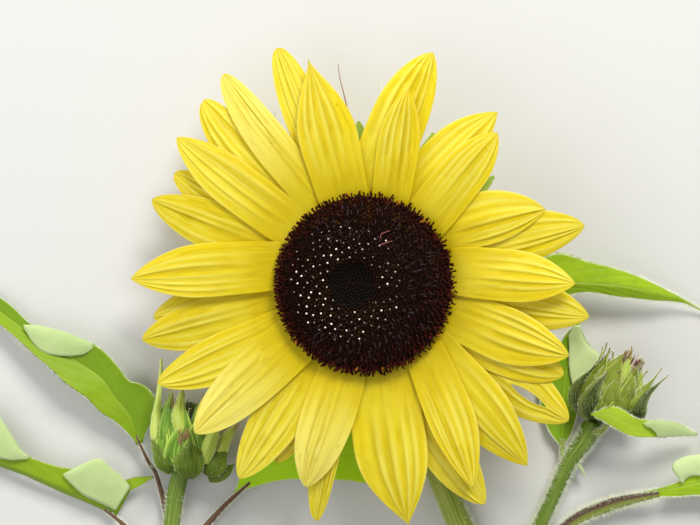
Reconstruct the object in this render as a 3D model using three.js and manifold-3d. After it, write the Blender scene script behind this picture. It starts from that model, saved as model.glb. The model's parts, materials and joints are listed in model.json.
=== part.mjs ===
import * as THREE from "three";
import { mergeVertices } from "three/addons/utils/BufferGeometryUtils.js";
import Module from "manifold-3d";

const wasm = await Module();
wasm.setup();

// The cut flowering top of a branching sunflower, lying on a floor with its open bloom face up.
// Millimetres: +Z is up, +Y runs up the stem past the bloom, and x = y = 0 is under the disc.
// Places are given as an eye straight above sees them against the ray plane, and seen() finds
// where they lie at their own height, so things nearer the floor lie a little further apart.
const rayPlane = 31; // height of the ray plane over the floor at the disc's centre
const eye = { x: -4.95, y: 7.1, height: 673 };
const gap = 0.3; // clearance of each seat
const leafThickness = 0.9;

// Bloom: an 8 degree tilt lifts its right side
const tilt = THREE.MathUtils.degToRad(8);
const discRadius = 30.2;
const discRise = 8.5;
const discBottom = 1.15;
const pit = { radius: 8.4, x: -4.3, y: -0.3, reach: 20 }; // it lies aside of the disc's middle
const coreRadius = 27.5; // rim of the receptacle that carries the rays
const rayBase = coreRadius + gap;
const rayThickness = 0.7;
const rayArch = 3.2;
const rayPleat = 0.3;
const levelPitch = { inner: 1.2, outer: 2.1 };
const bractCount = 24;
const bractThickness = 0.9;

// Rays from the right, anticlockwise: base angle, tip angle, reach, half width on the anticlockwise
// side and on the clockwise one, level (0 in front), bluntness of the tip and share of the foot
const rays = [
  [8, 0.1, 69.4, 9.5, 8, 0, 0.85], [17, 14.9, 75, 10, 7.5, 2, 0.7],
  [33, 22.6, 64.3, 10.8, 6.5, 1, 0.8], [46, 48.9, 66.3, 8, 8, 0, 0.75, 0.85],
  [62, 52.5, 71.7, 10.3, 7, 2, 0.9], [84, 73.7, 79.6, 11.8, 7.5, 1, 0.7],
  [72, 77.6, 65.5, 7.3, 6.8, 0, 0.8], [104, 104.1, 76.2, 9.6, 9.8, 0, 1.4],
  [108, 110.3, 82.9, 6.8, 7, 2, 0.5], [117, 124.1, 83.8, 7.8, 4.7, 1, 0.7],
  [131, 131.2, 80.6, 10, 6, 2, 0.5], [141, 142.1, 78.6, 9, 7.4, 1, 0.75],
  [152, 149.8, 72.6, 7, 6, 3, 0.5], [158, 158.4, 75.4, 9, 7.5, 2, 0.65],
  [169, 178.7, 77.3, 8, 10.2, 0, 0.85], [184, 189, 70.7, 7, 8, 3, 0.65],
  [192, 193.9, 75.9, 9, 8, 2, 0.7], [207, 205.5, 75.9, 9.5, 6.7, 1, 0.7],
  [220, 221.3, 74.3, 8.3, 9.6, 0, 0.7, 0.75], [234, 237, 76.4, 9, 8, 1, 0.7],
  [243, 243.5, 66, 6, 7, 3, 0.6], [257, 253.6, 69.9, 8.5, 9.3, 0, 0.75, 0.65],
  [256, 258.4, 79.8, 4, 6, 2, 0.5], [283, 280.1, 80.8, 10.7, 14, 1, 1.1, 0.6],
  [309, 297.9, 76, 10, 5.5, 0, 0.9], [296, 298.4, 82.8, 7, 11, 2, 0.7],
  [313, 311.7, 80.4, 10.5, 8.5, 1, 0.85], [326, 326.2, 80.9, 9.5, 9.5, 3, 0.65],
  [338, 335.4, 72.1, 7, 9.7, 2, 0.65, 0.7], [345, 340.7, 71.4, 7.5, 10.5, 1, 0.8],
  [355, 351.6, 74.8, 9.5, 8, 3, 0.75],
];
const rayWidest = 0.45; // share of its length where a ray is widest
const rayFoot = 0.62; // width at its base, as a share of its full width

// Stems: radii run from the lower end to the upper
const cutY = -246;
const mainRadii = [6.0, 5.7, 5.4, 5.1, 4.8, 4.5, 4.3, 4.3, 4.6, 6.2];
const leftBranchRadii = [4.0, 3.5, 3.2, 3.0, 2.9, 2.8, 2.8, 3.0];
const rightBranchRadii = [3.1, 2.7, 2.5, 2.4, 2.4, 2.9, 3.6];

const look = (colour, roughness) =>
  new THREE.MeshStandardMaterial({ color: colour, roughness, metalness: 0 });
const yellow = look(0xf2dc2e, 0.6);
const maroon = look(0x321009, 0.8);
const stemGreen = look(0x7c8f3c, 0.7);
const bractGreen = look(0x52762a, 0.75);
const leafGreen = look(0x8fb51c, 0.65);

// Where a thing at height z lies that the eye sees at (x, y) of the ray plane
function seen(x, y, z) {
  const share = (eye.height - z) / (eye.height - rayPlane);
  return new THREE.Vector3(eye.x + (x - eye.x) * share, eye.y + (y - eye.y) * share, z);
}

// A value at share t of a list of evenly spaced values
function along(list, t) {
  if (list.length === 1) return list[0];
  const place = THREE.MathUtils.clamp(t, 0, 1) * (list.length - 1);
  const low = Math.min(Math.floor(place), list.length - 2);
  return THREE.MathUtils.lerp(list[low], list[low + 1], place - low);
}

function polar(radius, degrees, z = 0) {
  const angle = THREE.MathUtils.degToRad(degrees);
  return new THREE.Vector3(radius * Math.cos(angle), radius * Math.sin(angle), z);
}

function geometryOf(points, faces) {
  const geometry = new THREE.BufferGeometry();
  geometry.setAttribute(
    "position",
    new THREE.Float32BufferAttribute(points.flatMap((p) => [p.x, p.y, p.z]), 3),
  );
  geometry.setIndex(faces);
  return geometry;
}

// A round limb along smooth points, with its radii shared out evenly, closed by flat ends
function limb(points, radii, { sides = 10, steps = 24, grow = 0 } = {}) {
  const path = new THREE.CatmullRomCurve3(points);
  const frames = path.computeFrenetFrames(steps, false);
  const vertices = [];
  const faces = [];
  for (let i = 0; i <= steps; i++) {
    const centre = path.getPointAt(i / steps);
    const radius = along(radii, i / steps) + grow;
    for (let j = 0; j < sides; j++) {
      const turn = (2 * Math.PI * j) / sides;
      vertices.push(
        centre.clone()
          .addScaledVector(frames.normals[i], radius * Math.cos(turn))
          .addScaledVector(frames.binormals[i], radius * Math.sin(turn)),
      );
    }
  }
  for (let i = 0; i < steps; i++) {
    for (let j = 0; j < sides; j++) {
      const a = i * sides + j;
      const b = i * sides + ((j + 1) % sides);
      faces.push(a, b, b + sides, a, b + sides, a + sides);
    }
  }
  const top = steps * sides;
  for (let j = 1; j < sides - 1; j++) {
    faces.push(0, j + 1, j, top, top + j, top + j + 1);
  }
  return geometryOf(vertices, faces);
}

// A thin closed blade. at(t, v) is its middle surface, t from base to tip, v from -1 to 1 across
function blade(at, thickness, { stations = 7, columns = 4 } = {}) {
  const small = 1e-3;
  const upper = [];
  const lower = [];
  for (let i = 0; i <= stations; i++) {
    for (let j = 0; j <= columns; j++) {
      const t = i / stations;
      const v = (2 * j) / columns - 1;
      const alongT = at(Math.min(t + small, 1), v).sub(at(Math.max(t - small, 0), v));
      const acrossV = at(t, Math.min(v + small, 1)).sub(at(t, Math.max(v - small, -1)));
      const normal = acrossV.cross(alongT).normalize();
      upper.push(at(t, v).addScaledVector(normal, thickness / 2));
      lower.push(at(t, v).addScaledVector(normal, -thickness / 2));
    }
  }
  const row = columns + 1;
  const count = upper.length;
  const faces = [];
  const quad = (a, b, c, d) => faces.push(a, b, c, a, c, d);
  for (let i = 0; i < stations; i++) {
    for (let j = 0; j < columns; j++) {
      const a = i * row + j;
      quad(a, a + 1, a + row + 1, a + row);
      quad(count + a, count + a + row, count + a + row + 1, count + a + 1);
    }
    const left = i * row;
    const right = left + columns;
    quad(left, left + row, count + left + row, count + left);
    quad(right + row, right, count + right, count + right + row);
  }
  for (let j = 0; j < columns; j++) {
    const tip = stations * row + j;
    quad(j + 1, j, count + j, count + j + 1);
    quad(tip, tip + 1, count + tip + 1, count + tip);
  }
  return geometryOf([...upper, ...lower], faces);
}

// Closed meshes as solids that join and cut
function solidOf(geometry) {
  const bare = new THREE.BufferGeometry();
  bare.setAttribute("position", geometry.getAttribute("position").clone());
  if (geometry.index) bare.setIndex(geometry.index.clone());
  const merged = mergeVertices(bare, 1e-4);
  return new wasm.Manifold(new wasm.Mesh({
    numProp: 3,
    vertProperties: new Float32Array(merged.getAttribute("position").array),
    triVerts: new Uint32Array(merged.index.array),
  }));
}

function geometryFrom(solid) {
  const { vertProperties, triVerts } = solid.getMesh();
  const geometry = new THREE.BufferGeometry();
  geometry.setAttribute("position", new THREE.Float32BufferAttribute(vertProperties, 3));
  geometry.setIndex(new THREE.Uint32BufferAttribute(triVerts, 1));
  return geometry;
}

const joined = (geometries) =>
  geometryFrom(geometries.map(solidOf).reduce((whole, piece) => whole.add(piece)));
const cutBy = (geometry, cutters) =>
  geometryFrom(cutters.map(solidOf).reduce((rest, cutter) => rest.subtract(cutter), solidOf(geometry)));

const plant = new THREE.Group();
const head = new THREE.Group();
head.position.z = rayPlane;
head.rotation.y = -tilt;
plant.add(head);
head.updateMatrixWorld();

function place(name, geometry, material, group = plant) {
  const mesh = new THREE.Mesh(geometry, material);
  mesh.name = name;
  group.add(mesh);
}

// Main stem: a flat cut, a gentle bow, a straight run behind the bloom and a bend at the neck
const mainPoints = [
  new THREE.Vector3(31, cutY, 6), new THREE.Vector3(31, cutY + 12, 6),
  seen(36, -195, 5.6), seen(42, -150, 5.2), seen(43, -118, 5), seen(38, -97, 4.7),
  seen(26.7, -68, 4.5), seen(14, -36, 4.5), seen(5, -13, 5.6), seen(-0.6, -1.5, 11.5),
  new THREE.Vector3(-1.5, 0, 19),
];
const mainStem = (grow) => limb(mainPoints, mainRadii, { sides: 10, steps: 30, grow });
place("main_stem", mainStem(0), stemGreen);

// The left branch carries the left bud and three leaves, the right one the right bud
const leftPoints = [
  seen(38, -190, 6), seen(27, -172, 4.6), seen(3, -150, 4), seen(-30, -129, 3.6),
  seen(-54, -110, 3.4), seen(-63.4, -90, 3.6), seen(-63, -73, 5), seen(-60.4, -60.8, 8.4),
];
const leftBranch = (grow) => limb(leftPoints, leftBranchRadii, { sides: 8, steps: 22, grow });
place("left_branch", cutBy(leftBranch(0), [mainStem(gap)]), stemGreen);

const rightPoints = [
  seen(41.5, -104, 5.5), seen(49, -93, 4.6), seen(57.8, -79.2, 4.4), seen(67, -59.4, 5.4),
  seen(72.5, -51.5, 7), seen(76, -45.5, 8.6),
];
const rightBranch = (grow) => limb(rightPoints, rightBranchRadii, { sides: 8, steps: 14, grow });
place("right_branch", cutBy(rightBranch(0), [mainStem(gap)]), stemGreen);

// Point at a height over the tilted ray plane that the eye sees at (x, y), in the head's own frame
function onHead(x, y, height) {
  const watcher = head.worldToLocal(new THREE.Vector3(eye.x, eye.y, eye.height));
  const shown = head.worldToLocal(new THREE.Vector3(x, y, rayPlane));
  const point = watcher.clone().lerp(shown, (watcher.z - height) / (watcher.z - shown.z));
  return new THREE.Vector2(point.x, point.y);
}

// Height of a level over the ray plane at a radius: every ray of a level lies on this surface
function levelHeight(level, radius) {
  const out = THREE.MathUtils.clamp((radius - rayBase) / 55, 0, 1);
  const pitch = THREE.MathUtils.lerp(levelPitch.inner, levelPitch.outer, out);
  return rayArch * Math.sin(Math.PI * out * 0.85) - level * pitch;
}

function rayGeometry([baseAngle, tipAngle, reach, left, right, level, blunt, foot = rayFoot]) {
  const shown = polar(reach, tipAngle);
  const tip = onHead(shown.x, shown.y, levelHeight(level, reach));
  const start = polar(rayBase, baseAngle);
  const course = new THREE.Vector3(tip.x - start.x, tip.y - start.y, 0);
  const side = new THREE.Vector3(-course.y, course.x, 0).normalize();
  const at = (step, v) => {
    const t = Math.sin((Math.PI / 2) * step);
    const share = t < rayWidest
      ? foot + (1 - foot) * Math.sin((Math.PI / 2) * (t / rayWidest)) ** 0.8
      : (1 - ((t - rayWidest) / (1 - rayWidest)) ** 2.2) ** blunt;
    const half = Math.max((v < 0 ? left : right) * share, 0.35);
    const point = start.clone().addScaledVector(course, t).addScaledVector(side, -half * v);
    if (point.length() < rayBase) point.setLength(rayBase);
    const pleat = rayPleat * Math.sin(Math.PI * 2 * Math.abs(v)) * Math.min(1, half / 5);
    point.z = levelHeight(level, point.length()) + pleat;
    return point;
  };
  return blade(at, rayThickness, { stations: 7, columns: 4 });
}

rays.forEach((ray, index) => {
  place(`ray_${String(index + 1).padStart(2, "0")}`, rayGeometry(ray), yellow, head);
});

// Disc: a low dome with a sunken middle and a toothed rim of florets that overhangs the ray bases
const discSides = 36;
const discProfile = [
  [0, discBottom], [discRadius - 5, discBottom], [discRadius - 0.8, discBottom + 0.4],
  [discRadius, discBottom + 1.8], [discRadius - 4, discBottom + 5.2],
  [20, discBottom + discRise * 0.93], [13, discBottom + discRise], [pit.radius, discBottom + 7.4],
  [pit.radius * 0.55, discBottom + 5.6], [0, discBottom + 5.2],
].map(([r, z]) => new THREE.Vector2(r, z));
const disc = new THREE.LatheGeometry(discProfile, discSides).rotateX(Math.PI / 2);
const discPoints = disc.getAttribute("position");
for (let i = 0; i < discPoints.count; i++) {
  const radius = Math.hypot(discPoints.getX(i), discPoints.getY(i));
  if (radius < pit.reach && discPoints.getZ(i) > discBottom) {
    const shift = 1 - (radius / pit.reach) ** 2;
    discPoints.setX(i, discPoints.getX(i) + pit.x * shift);
    discPoints.setY(i, discPoints.getY(i) + pit.y * shift);
  }
  if (radius < discRadius - 4.5) continue;
  const tooth = Math.floor(i / discProfile.length) % 2 ? 1.035 : 0.985;
  discPoints.setX(i, discPoints.getX(i) * tooth);
  discPoints.setY(i, discPoints.getY(i) * tooth);
}
place("bloom_disc", geometryFrom(solidOf(disc)), maroon, head);

// Calyx: the receptacle with two whorls of long-pointed bracts under the rays
const coreTop = discBottom - gap;
const cupProfile = [
  [0, -13.5], [7, -13], [13, -11.6], [21, -9.4], [28, -6.6], [28.6, -5.4], [coreRadius, -4.9],
  [coreRadius, coreTop], [0, coreTop],
].map(([r, z]) => new THREE.Vector2(r, z));
const cup = new THREE.LatheGeometry(cupProfile, 24).rotateX(Math.PI / 2);

// A bract leaves the cup at foot, spreads to its body's end and runs out in a thread-like tip
function bract({ angle, reach, body, width, drop, foot, footZ }) {
  const at = (t, v) => {
    const radius = THREE.MathUtils.lerp(foot, reach, t);
    const out = (radius - foot) / (body - foot);
    const full = Math.sin(Math.PI * Math.min(0.25 + out * 0.75, 1));
    const half = Math.max((width / 2) * full, 0.75);
    const point = polar(radius, angle).addScaledVector(polar(1, angle + 90), -half * v);
    point.z = footZ - drop * t ** 2;
    return point;
  };
  return blade(at, bractThickness, { stations: 5, columns: 2 });
}

const tailed = [97, 120, 85, 70, 46, 344]; // bracts whose threads show past the rays
const bracts = [];
for (let i = 0; i < bractCount; i++) {
  const angle = (360 * i) / bractCount + (i % 2 ? 2 : -1);
  const near = tailed.find((shown) => Math.abs(shown - angle) < 360 / bractCount / 2);
  const top = angle > 40 && angle < 140;
  bracts.push(bract({
    angle: near ?? angle,
    reach: near ? 67 : 50 + 5 * ((i * 7) % 3) / 2,
    body: 50, width: 12 + (i % 3), drop: top ? 9 : 3.5,
    foot: 16, footZ: i % 2 ? -6.6 : -8.1,
  }));
}
const stemInHead = mainStem(gap).applyMatrix4(head.matrixWorld.clone().invert());
place("bloom_calyx", cutBy(joined([cup, ...bracts]), [stemInHead]), bractGreen, head);

// A blade along a rib, with a width and a fold angle for each side
function ribbed({ rib, left, right, leftFold, rightFold, stations = 9 }) {
  const path = new THREE.CatmullRomCurve3(rib);
  const at = (t, v) => {
    const onLeft = v < 0;
    const width = along(onLeft ? left : right, t) * Math.abs(v);
    const fold = THREE.MathUtils.degToRad(along(onLeft ? leftFold : rightFold, t));
    const tangent = path.getTangentAt(t);
    const side = new THREE.Vector3(-tangent.y, tangent.x, 0).normalize();
    const point = path.getPointAt(t);
    point.addScaledVector(side, (onLeft ? 1 : -1) * width * Math.cos(fold));
    point.z += width * Math.sin(fold);
    return point;
  };
  return blade(at, leafThickness, { stations, columns: 4 });
}

// A leaf: its blade and lobes fused to the petiole
function leaf({ petiole, radii, lobes = [], ...main }) {
  return joined([ribbed(main), ...lobes.map(ribbed), limb(petiole, radii, { sides: 6, steps: 9 })]);
}

const leaves = {
  leaf_upper_right: {
    rib: [
      seen(50, 1.2, 10.8), seen(69.3, 0.2, 12), seen(85.2, -0.9, 11.5), seen(96.6, -3.2, 8.5),
      seen(105.7, -5.8, 4.5), seen(114, -10.5, 0.9),
    ],
    left: [1.2, 9.8, 7.8, 5.4, 2.9, 0.8, 0.5], leftFold: [6],
    right: [1.2, 6, 3.2, 4.4, 3.3, 1, 0.5], rightFold: [-34],
    petiole: [seen(13, -33, 4.6), seen(25, -15, 6.5), seen(40, -1.5, 9), seen(56, 1.2, 11.2)],
    radii: [1.7, 1.4, 1.1], carriers: [mainStem],
  },
  leaf_behind_bud: {
    rib: [
      seen(65, -54, 3.8), seen(65.5, -44, 2.4), seen(66, -33, 1.6), seen(67.6, -23, 1.4),
      seen(69.2, -16.5, 3), seen(70, -13, 5.5),
    ],
    left: [0.6, 4.8, 7, 8.5, 9, 8, 4.6, 3, 0.6], leftFold: [6],
    right: [0.6, 3, 4.5, 6, 7, 8, 9.5, 4, 1], rightFold: [0],
    petiole: [seen(67.2, -60.2, 5.2), seen(65.4, -57, 4.4), seen(65, -51, 3.4)],
    radii: [1.2, 1], carriers: [rightBranch],
  },
  leaf_lower_right: {
    rib: [
      seen(92, -69.1, 6.6), seen(104, -67, 8.5), seen(118, -64, 9), seen(135, -60.5, 7.5),
      seen(152, -57.5, 4.5), seen(166, -56, 0.9),
    ],
    left: [0.8, 1.4, 3.6, 12, 19, 18, 13, 7, 0.5], leftFold: [10, 8, 4],
    right: [1.2, 3, 4.8, 10, 16, 17, 12, 6.5, 0.5], rightFold: [-12, -12, -8, 0],
    petiole: [
      seen(43, -114, 5), seen(52.5, -98, 3.2), seen(66, -80.2, 3), seen(80.3, -72.4, 4.5),
      seen(97, -68.3, 7.2),
    ],
    lobes: [{
      rib: [seen(126, -55.5, 10.4), seen(112, -58.6, 10.4), seen(101.8, -59.7, 10)],
      left: [3, 2.6, 0.6], leftFold: [0], right: [3, 2.8, 0.6], rightFold: [0], stations: 5,
    }],
    radii: [2.1, 1.8, 1.7, 1.5], carriers: [mainStem, rightBranch],
  },
  leaf_upper_left: {
    rib: [
      seen(-74.3, -52.8, 5.4), seen(-78.2, -43.3, 6.4), seen(-82.9, -37.2, 7), seen(-87.2, -31.1, 7.4),
      seen(-96.1, -25.1, 7.6), seen(-107.6, -18.5, 7), seen(-117.3, -11.4, 5.4),
      seen(-128, -3.5, 2.6), seen(-136, 4, 0.9),
    ],
    left: [1.2, 5, 8, 8.6, 6.2, 4.2, 3.6, 3, 0.5], leftFold: [18],
    right: [1.2, 11, 7, 8.4, 6.4, 3, 4, 3.5, 0.5], rightFold: [4],
    petiole: [
      seen(-63.2, -86, 4), seen(-65.8, -74.4, 3.4), seen(-68.9, -62.8, 4.2), seen(-71.5, -58.6, 4.7),
      seen(-75.6, -50, 5.7),
    ],
    radii: [1.2, 1, 0.9], carriers: [leftBranch],
  },
  leaf_lower_left: {
    rib: [
      seen(-82, -76.5, 3.4), seen(-93, -70.8, 5), seen(-104, -65.8, 6), seen(-120.5, -58.8, 6),
      seen(-134, -52, 4.5), seen(-147, -45, 0.9),
    ],
    left: [1.2, 3.5, 5, 5, 5, 4, 3, 0.5], leftFold: [-70, -70, -70, -40, 0],
    right: [10, 13.4, 8.5, 6.2, 6.5, 11.6, 16, 11, 0.5], rightFold: [8, 8, 4, 0],
    petiole: [seen(-60.5, -97, 3.4), seen(-71, -89, 2.4), seen(-79.6, -79.5, 3), seen(-86, -74.4, 4)],
    lobes: [{
      rib: [seen(-86, -70, 4.9), seen(-78, -66.3, 5), seen(-69.8, -63.6, 4.6)],
      left: [2.4, 1.8, 0.5], leftFold: [0], right: [2.4, 1.8, 0.5], rightFold: [0], stations: 4,
    }],
    radii: [1.5, 1.3, 1.1], carriers: [leftBranch],
  },
  leaf_lower_middle: {
    rib: [
      seen(-43, -69, 4.3), seen(-32, -62, 6), seen(-18, -57.5, 7), seen(-3, -56, 6.2),
      seen(13, -58.5, 3.5),
    ],
    left: [0.6, 8, 12, 13, 12, 7, 0.5], leftFold: [8],
    right: [0.6, 3, 5.4, 7.9, 9.3, 9.4, 0.5], rightFold: [-8],
    petiole: [
      seen(-62.8, -92, 3.5), seen(-58, -86.5, 3), seen(-52.2, -79.5, 3), seen(-45.6, -72.4, 3.6),
      seen(-38, -65.5, 5),
    ],
    radii: [1.3, 1.1, 1], carriers: [leftBranch],
  },
};

// A bud: an ovoid body with a whorl of pointed bracts that stand round it and past its tip
function bud({ base, tip, radius, spread, whorl, bodies }) {
  const length = base.distanceTo(tip);
  const outline = [[0, 0], [0.4, 0], [0.86, 0.16], [1, 0.38], [0.98, 0.6], [0.8, 0.78], [0.4, 0.92], [0, 0.95]];
  const body = new THREE.LatheGeometry(
    outline.map(([r, h]) => new THREE.Vector2(r * radius, h * length)), 12,
  ).rotateX(Math.PI / 2);
  const pieces = [body];
  for (let i = 0; i < whorl; i++) {
    const angle = (360 * i) / whorl + 11;
    const stand = new THREE.SplineCurve([
      [0.5, 0.06], [0.92, 0.24], [1.01, 0.48], [0.95, 0.72], [0.86 + 0.1 * (i % 3), 1 + 0.05 * (i % 2)],
    ].map(([r, h]) => new THREE.Vector2(r * radius, h * length)));
    const at = (t, v) => {
      const { x: out, y: up } = stand.getPoint(t);
      const half = Math.max(bodies * Math.sin(Math.PI * Math.min(0.3 + t * 0.72, 1)), 0.45);
      const point = polar(out, angle, up).addScaledVector(polar(1, angle + 90), -half * v);
      point.addScaledVector(polar(1, angle), -0.06 * (half * v) ** 2);
      return point;
    };
    pieces.push(blade(at, bractThickness, { stations: 4, columns: 2 }));
  }
  const axis = tip.clone().sub(base).normalize();
  const turned = joined(pieces).scale(spread, 1, 1);
  const side = new THREE.Vector3().crossVectors(axis, new THREE.Vector3(0, 0, 1)).normalize();
  const front = new THREE.Vector3().crossVectors(axis, side);
  const frame = new THREE.Matrix4().makeBasis(side, front, axis);
  turned.applyMatrix4(frame.setPosition(base));
  turned.computeBoundingBox();
  return turned.translate(0, 0, -turned.boundingBox.min.z);
}

place("bud_right", cutBy(bud({
  base: seen(76.4, -45, 9.6), tip: seen(86.4, -20.5, 11.5), radius: 8.6, spread: 1.05,
  whorl: 9, bodies: 3.4,
}), [rightBranch(gap)]), bractGreen);
place("bud_left", cutBy(bud({
  base: seen(-60.3, -62.5, 8.8), tip: seen(-58.6, -35, 9.2), radius: 7.8, spread: 1.42,
  whorl: 9, bodies: 3.6,
}), [leftBranch(gap)]), bractGreen);

leaves.bud_leaf = {
  rib: [
    seen(74.4, -43, 16.5), seen(81.8, -43.6, 19), seen(88, -47, 18), seen(94, -48, 15),
    seen(101, -48.1, 11), seen(109.7, -49.7, 6),
  ],
  left: [0.5, 3.2, 3.2, 3.2, 3, 2.2, 0.5], leftFold: [8],
  right: [0.5, 3.2, 3.2, 2.8, 2.4, 1.6, 0.5], rightFold: [-12],
  petiole: [seen(75, -47.4, 8.4), seen(77, -49, 12), seen(80, -46.5, 16), seen(83, -44.6, 18.6)],
  radii: [1.6, 1.2, 1], carriers: [rightBranch],
};

for (const [name, shape] of Object.entries(leaves)) {
  place(name, cutBy(leaf(shape), shape.carriers.map((carrier) => carrier(gap))), leafGreen);
}

// The origin lies on the floor under the middle of the whole part
const part = new THREE.Group();
part.add(plant);
const box = new THREE.Box3().setFromObject(plant);
const middle = box.getCenter(new THREE.Vector3());
plant.position.set(-middle.x, -middle.y, -box.min.z);

export default part;
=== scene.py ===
import bpy
import bisect
import json
import math
import random
from mathutils import Matrix, Vector


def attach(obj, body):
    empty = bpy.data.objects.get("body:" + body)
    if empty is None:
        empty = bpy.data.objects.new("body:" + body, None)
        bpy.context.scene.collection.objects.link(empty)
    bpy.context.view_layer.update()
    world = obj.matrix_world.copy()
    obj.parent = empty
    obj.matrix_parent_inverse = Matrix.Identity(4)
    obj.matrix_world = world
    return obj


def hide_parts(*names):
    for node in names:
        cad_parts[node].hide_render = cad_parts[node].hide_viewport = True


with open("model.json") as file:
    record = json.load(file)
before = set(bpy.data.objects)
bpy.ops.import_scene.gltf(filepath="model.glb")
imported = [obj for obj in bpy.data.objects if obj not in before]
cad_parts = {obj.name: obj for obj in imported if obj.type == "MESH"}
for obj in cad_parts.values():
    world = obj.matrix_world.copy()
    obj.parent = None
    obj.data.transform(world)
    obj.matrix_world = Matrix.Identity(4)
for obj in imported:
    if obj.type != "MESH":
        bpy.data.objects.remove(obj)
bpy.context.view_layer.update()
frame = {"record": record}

mm = 0.001  # every size below is in millimetres
clear = {"piece": 0.02, "hair": 0.05}  # the least heights over the floor
up = Vector((0, 0, 1))

# The view that all the places below are given in: x right and y up from the disc's middle,
# as an eye straight above sees them against the plane of the rays
view = {
    "eyeX": -4.95, "eyeY": 7.1, "eyeHeight": 673.0,  # over the floor
    "rayPlane": 31.0,  # height of the ray plane under the disc's middle
    "width": 231.0,  # of the ray plane, from edge to edge of the picture
    "tilt": 8.0,  # degrees, lifts the bloom's right side
    "cutEnd": (31.0, -246.0, 6.0),  # middle of the stem's cut
}
cutMount = next(m for m in frame["record"]["mounts"] if m["name"] == "cut_end")
origin = Vector(cutMount["pos_m"]) - Vector(view["cutEnd"]) * mm
headMatrix = Matrix.Translation((0, 0, view["rayPlane"])) @ Matrix.Rotation(
    math.radians(-view["tilt"]), 4, "Y")


def seen(x, y, z):  # where a thing at height z lies that the eye sees at (x, y)
    share = (view["eyeHeight"] - z) / (view["eyeHeight"] - view["rayPlane"])
    return Vector((view["eyeX"] + (x - view["eyeX"]) * share,
                   view["eyeY"] + (y - view["eyeY"]) * share, z))


def trail(points, lift=0):
    return [seen(x, y, z + lift) for x, y, z in points]


def onHead(x, y, height):  # the point at a height over the tilted ray plane seen at (x, y)
    back = headMatrix.inverted()
    watcher = back @ Vector((view["eyeX"], view["eyeY"], view["eyeHeight"]))
    shown = back @ Vector((x, y, view["rayPlane"]))
    return watcher.lerp(shown, (watcher.z - height) / (watcher.z - shown.z))


def tilted(x, y, height):  # from the head's own frame, where the ray plane is level
    return headMatrix @ Vector((x, y, height))


def polar(radius, degrees, z=0.0):
    angle = math.radians(degrees)
    return Vector((radius * math.cos(angle), radius * math.sin(angle), z))


def clamp(value, low=0.0, high=1.0):
    return max(low, min(high, value))


def ease(value):
    value = clamp(value)
    return value * value * (3 - 2 * value)


def mix(first, second, share):
    return first + (second - first) * share


def sample(values, t):  # a smooth curve through evenly spaced values
    if len(values) == 1:
        return values[0]
    place = clamp(t) * (len(values) - 1)
    low = min(int(place), len(values) - 2)
    share = place - low
    before = values[max(low - 1, 0)]
    start, end = values[low], values[low + 1]
    after = values[min(low + 2, len(values) - 1)]
    return start + 0.5 * share * (end - before + share * (
        2 * before - 5 * start + 4 * end - after + share * (3 * (start - end) + after - before)))


def sideways(axis):  # two directions square to an axis
    side = axis.orthogonal().normalized()
    return side, axis.cross(side)


def around(first, second, turn):
    return first * math.cos(turn) + second * math.sin(turn)


def ring(middle, first, second, radius, sides, twist=0.0):
    return [middle + around(first, second, math.tau * i / sides + twist) * radius for i in range(sides)]


def jiggle(rng, x, y, low, high):  # a random vector, with limits for its z
    return Vector((rng.uniform(-x, x), rng.uniform(-y, y), rng.uniform(low, high)))


class Route:  # a smooth line through points, read by its share of the length
    def __init__(self, points):
        fine = 14 * (len(points) - 1)
        self.dots = [sample(points, i / fine) for i in range(fine + 1)]
        self.run = [0.0]
        for a, b in zip(self.dots, self.dots[1:]):
            self.run.append(self.run[-1] + (b - a).length)
        self.length = self.run[-1]

    def at(self, u):
        want = clamp(u) * self.length
        high = min(bisect.bisect_right(self.run, want), len(self.run) - 1)
        start, end = self.run[high - 1:high + 1]
        return self.dots[high - 1].lerp(self.dots[high], (want - start) / max(end - start, 1e-9))

    def tangent(self, u):
        return (self.at(min(u + 0.01, 1)) - self.at(max(u - 0.01, 0))).normalized()

    def frames(self, steps):  # two sideways directions at each step, carried along with no twist
        tangent = self.tangent(0)
        normal = sideways(tangent)[0]
        found = []
        for i in range(steps + 1):
            ahead = self.tangent(i / steps)
            normal = tangent.rotation_difference(ahead) @ normal
            normal = (normal - ahead * normal.dot(ahead)).normalized()
            tangent = ahead
            found.append((normal, ahead.cross(normal)))
        return found


# Making and finishing objects

def leaveEdit():
    bpy.ops.object.mode_set(mode="OBJECT")


def edit(action):  # with all points selected, or none
    bpy.ops.object.mode_set(mode="EDIT")
    bpy.ops.mesh.select_all(action=action)


def deselect():
    if bpy.context.mode != "OBJECT":
        leaveEdit()
    bpy.ops.object.select_all(action="DESELECT")


def named(name, keys):  # the object just added gets its name and finishes
    obj = bpy.context.object
    obj.name = obj.data.name = name
    for key in keys:
        obj.data.materials.append(finishes[key])
    return obj


def reshape(obj, place):
    for vertex in obj.data.vertices:
        vertex.co = origin + place(*vertex.co) * mm


def thicken(obj, thickness, under=0):
    modifier = obj.modifiers.new("Thickness", "SOLIDIFY")
    modifier.thickness = thickness * mm
    modifier.offset = -1
    modifier.material_offset = under
    bpy.context.view_layer.objects.active = obj
    bpy.ops.object.modifier_apply(modifier=modifier.name)


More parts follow.
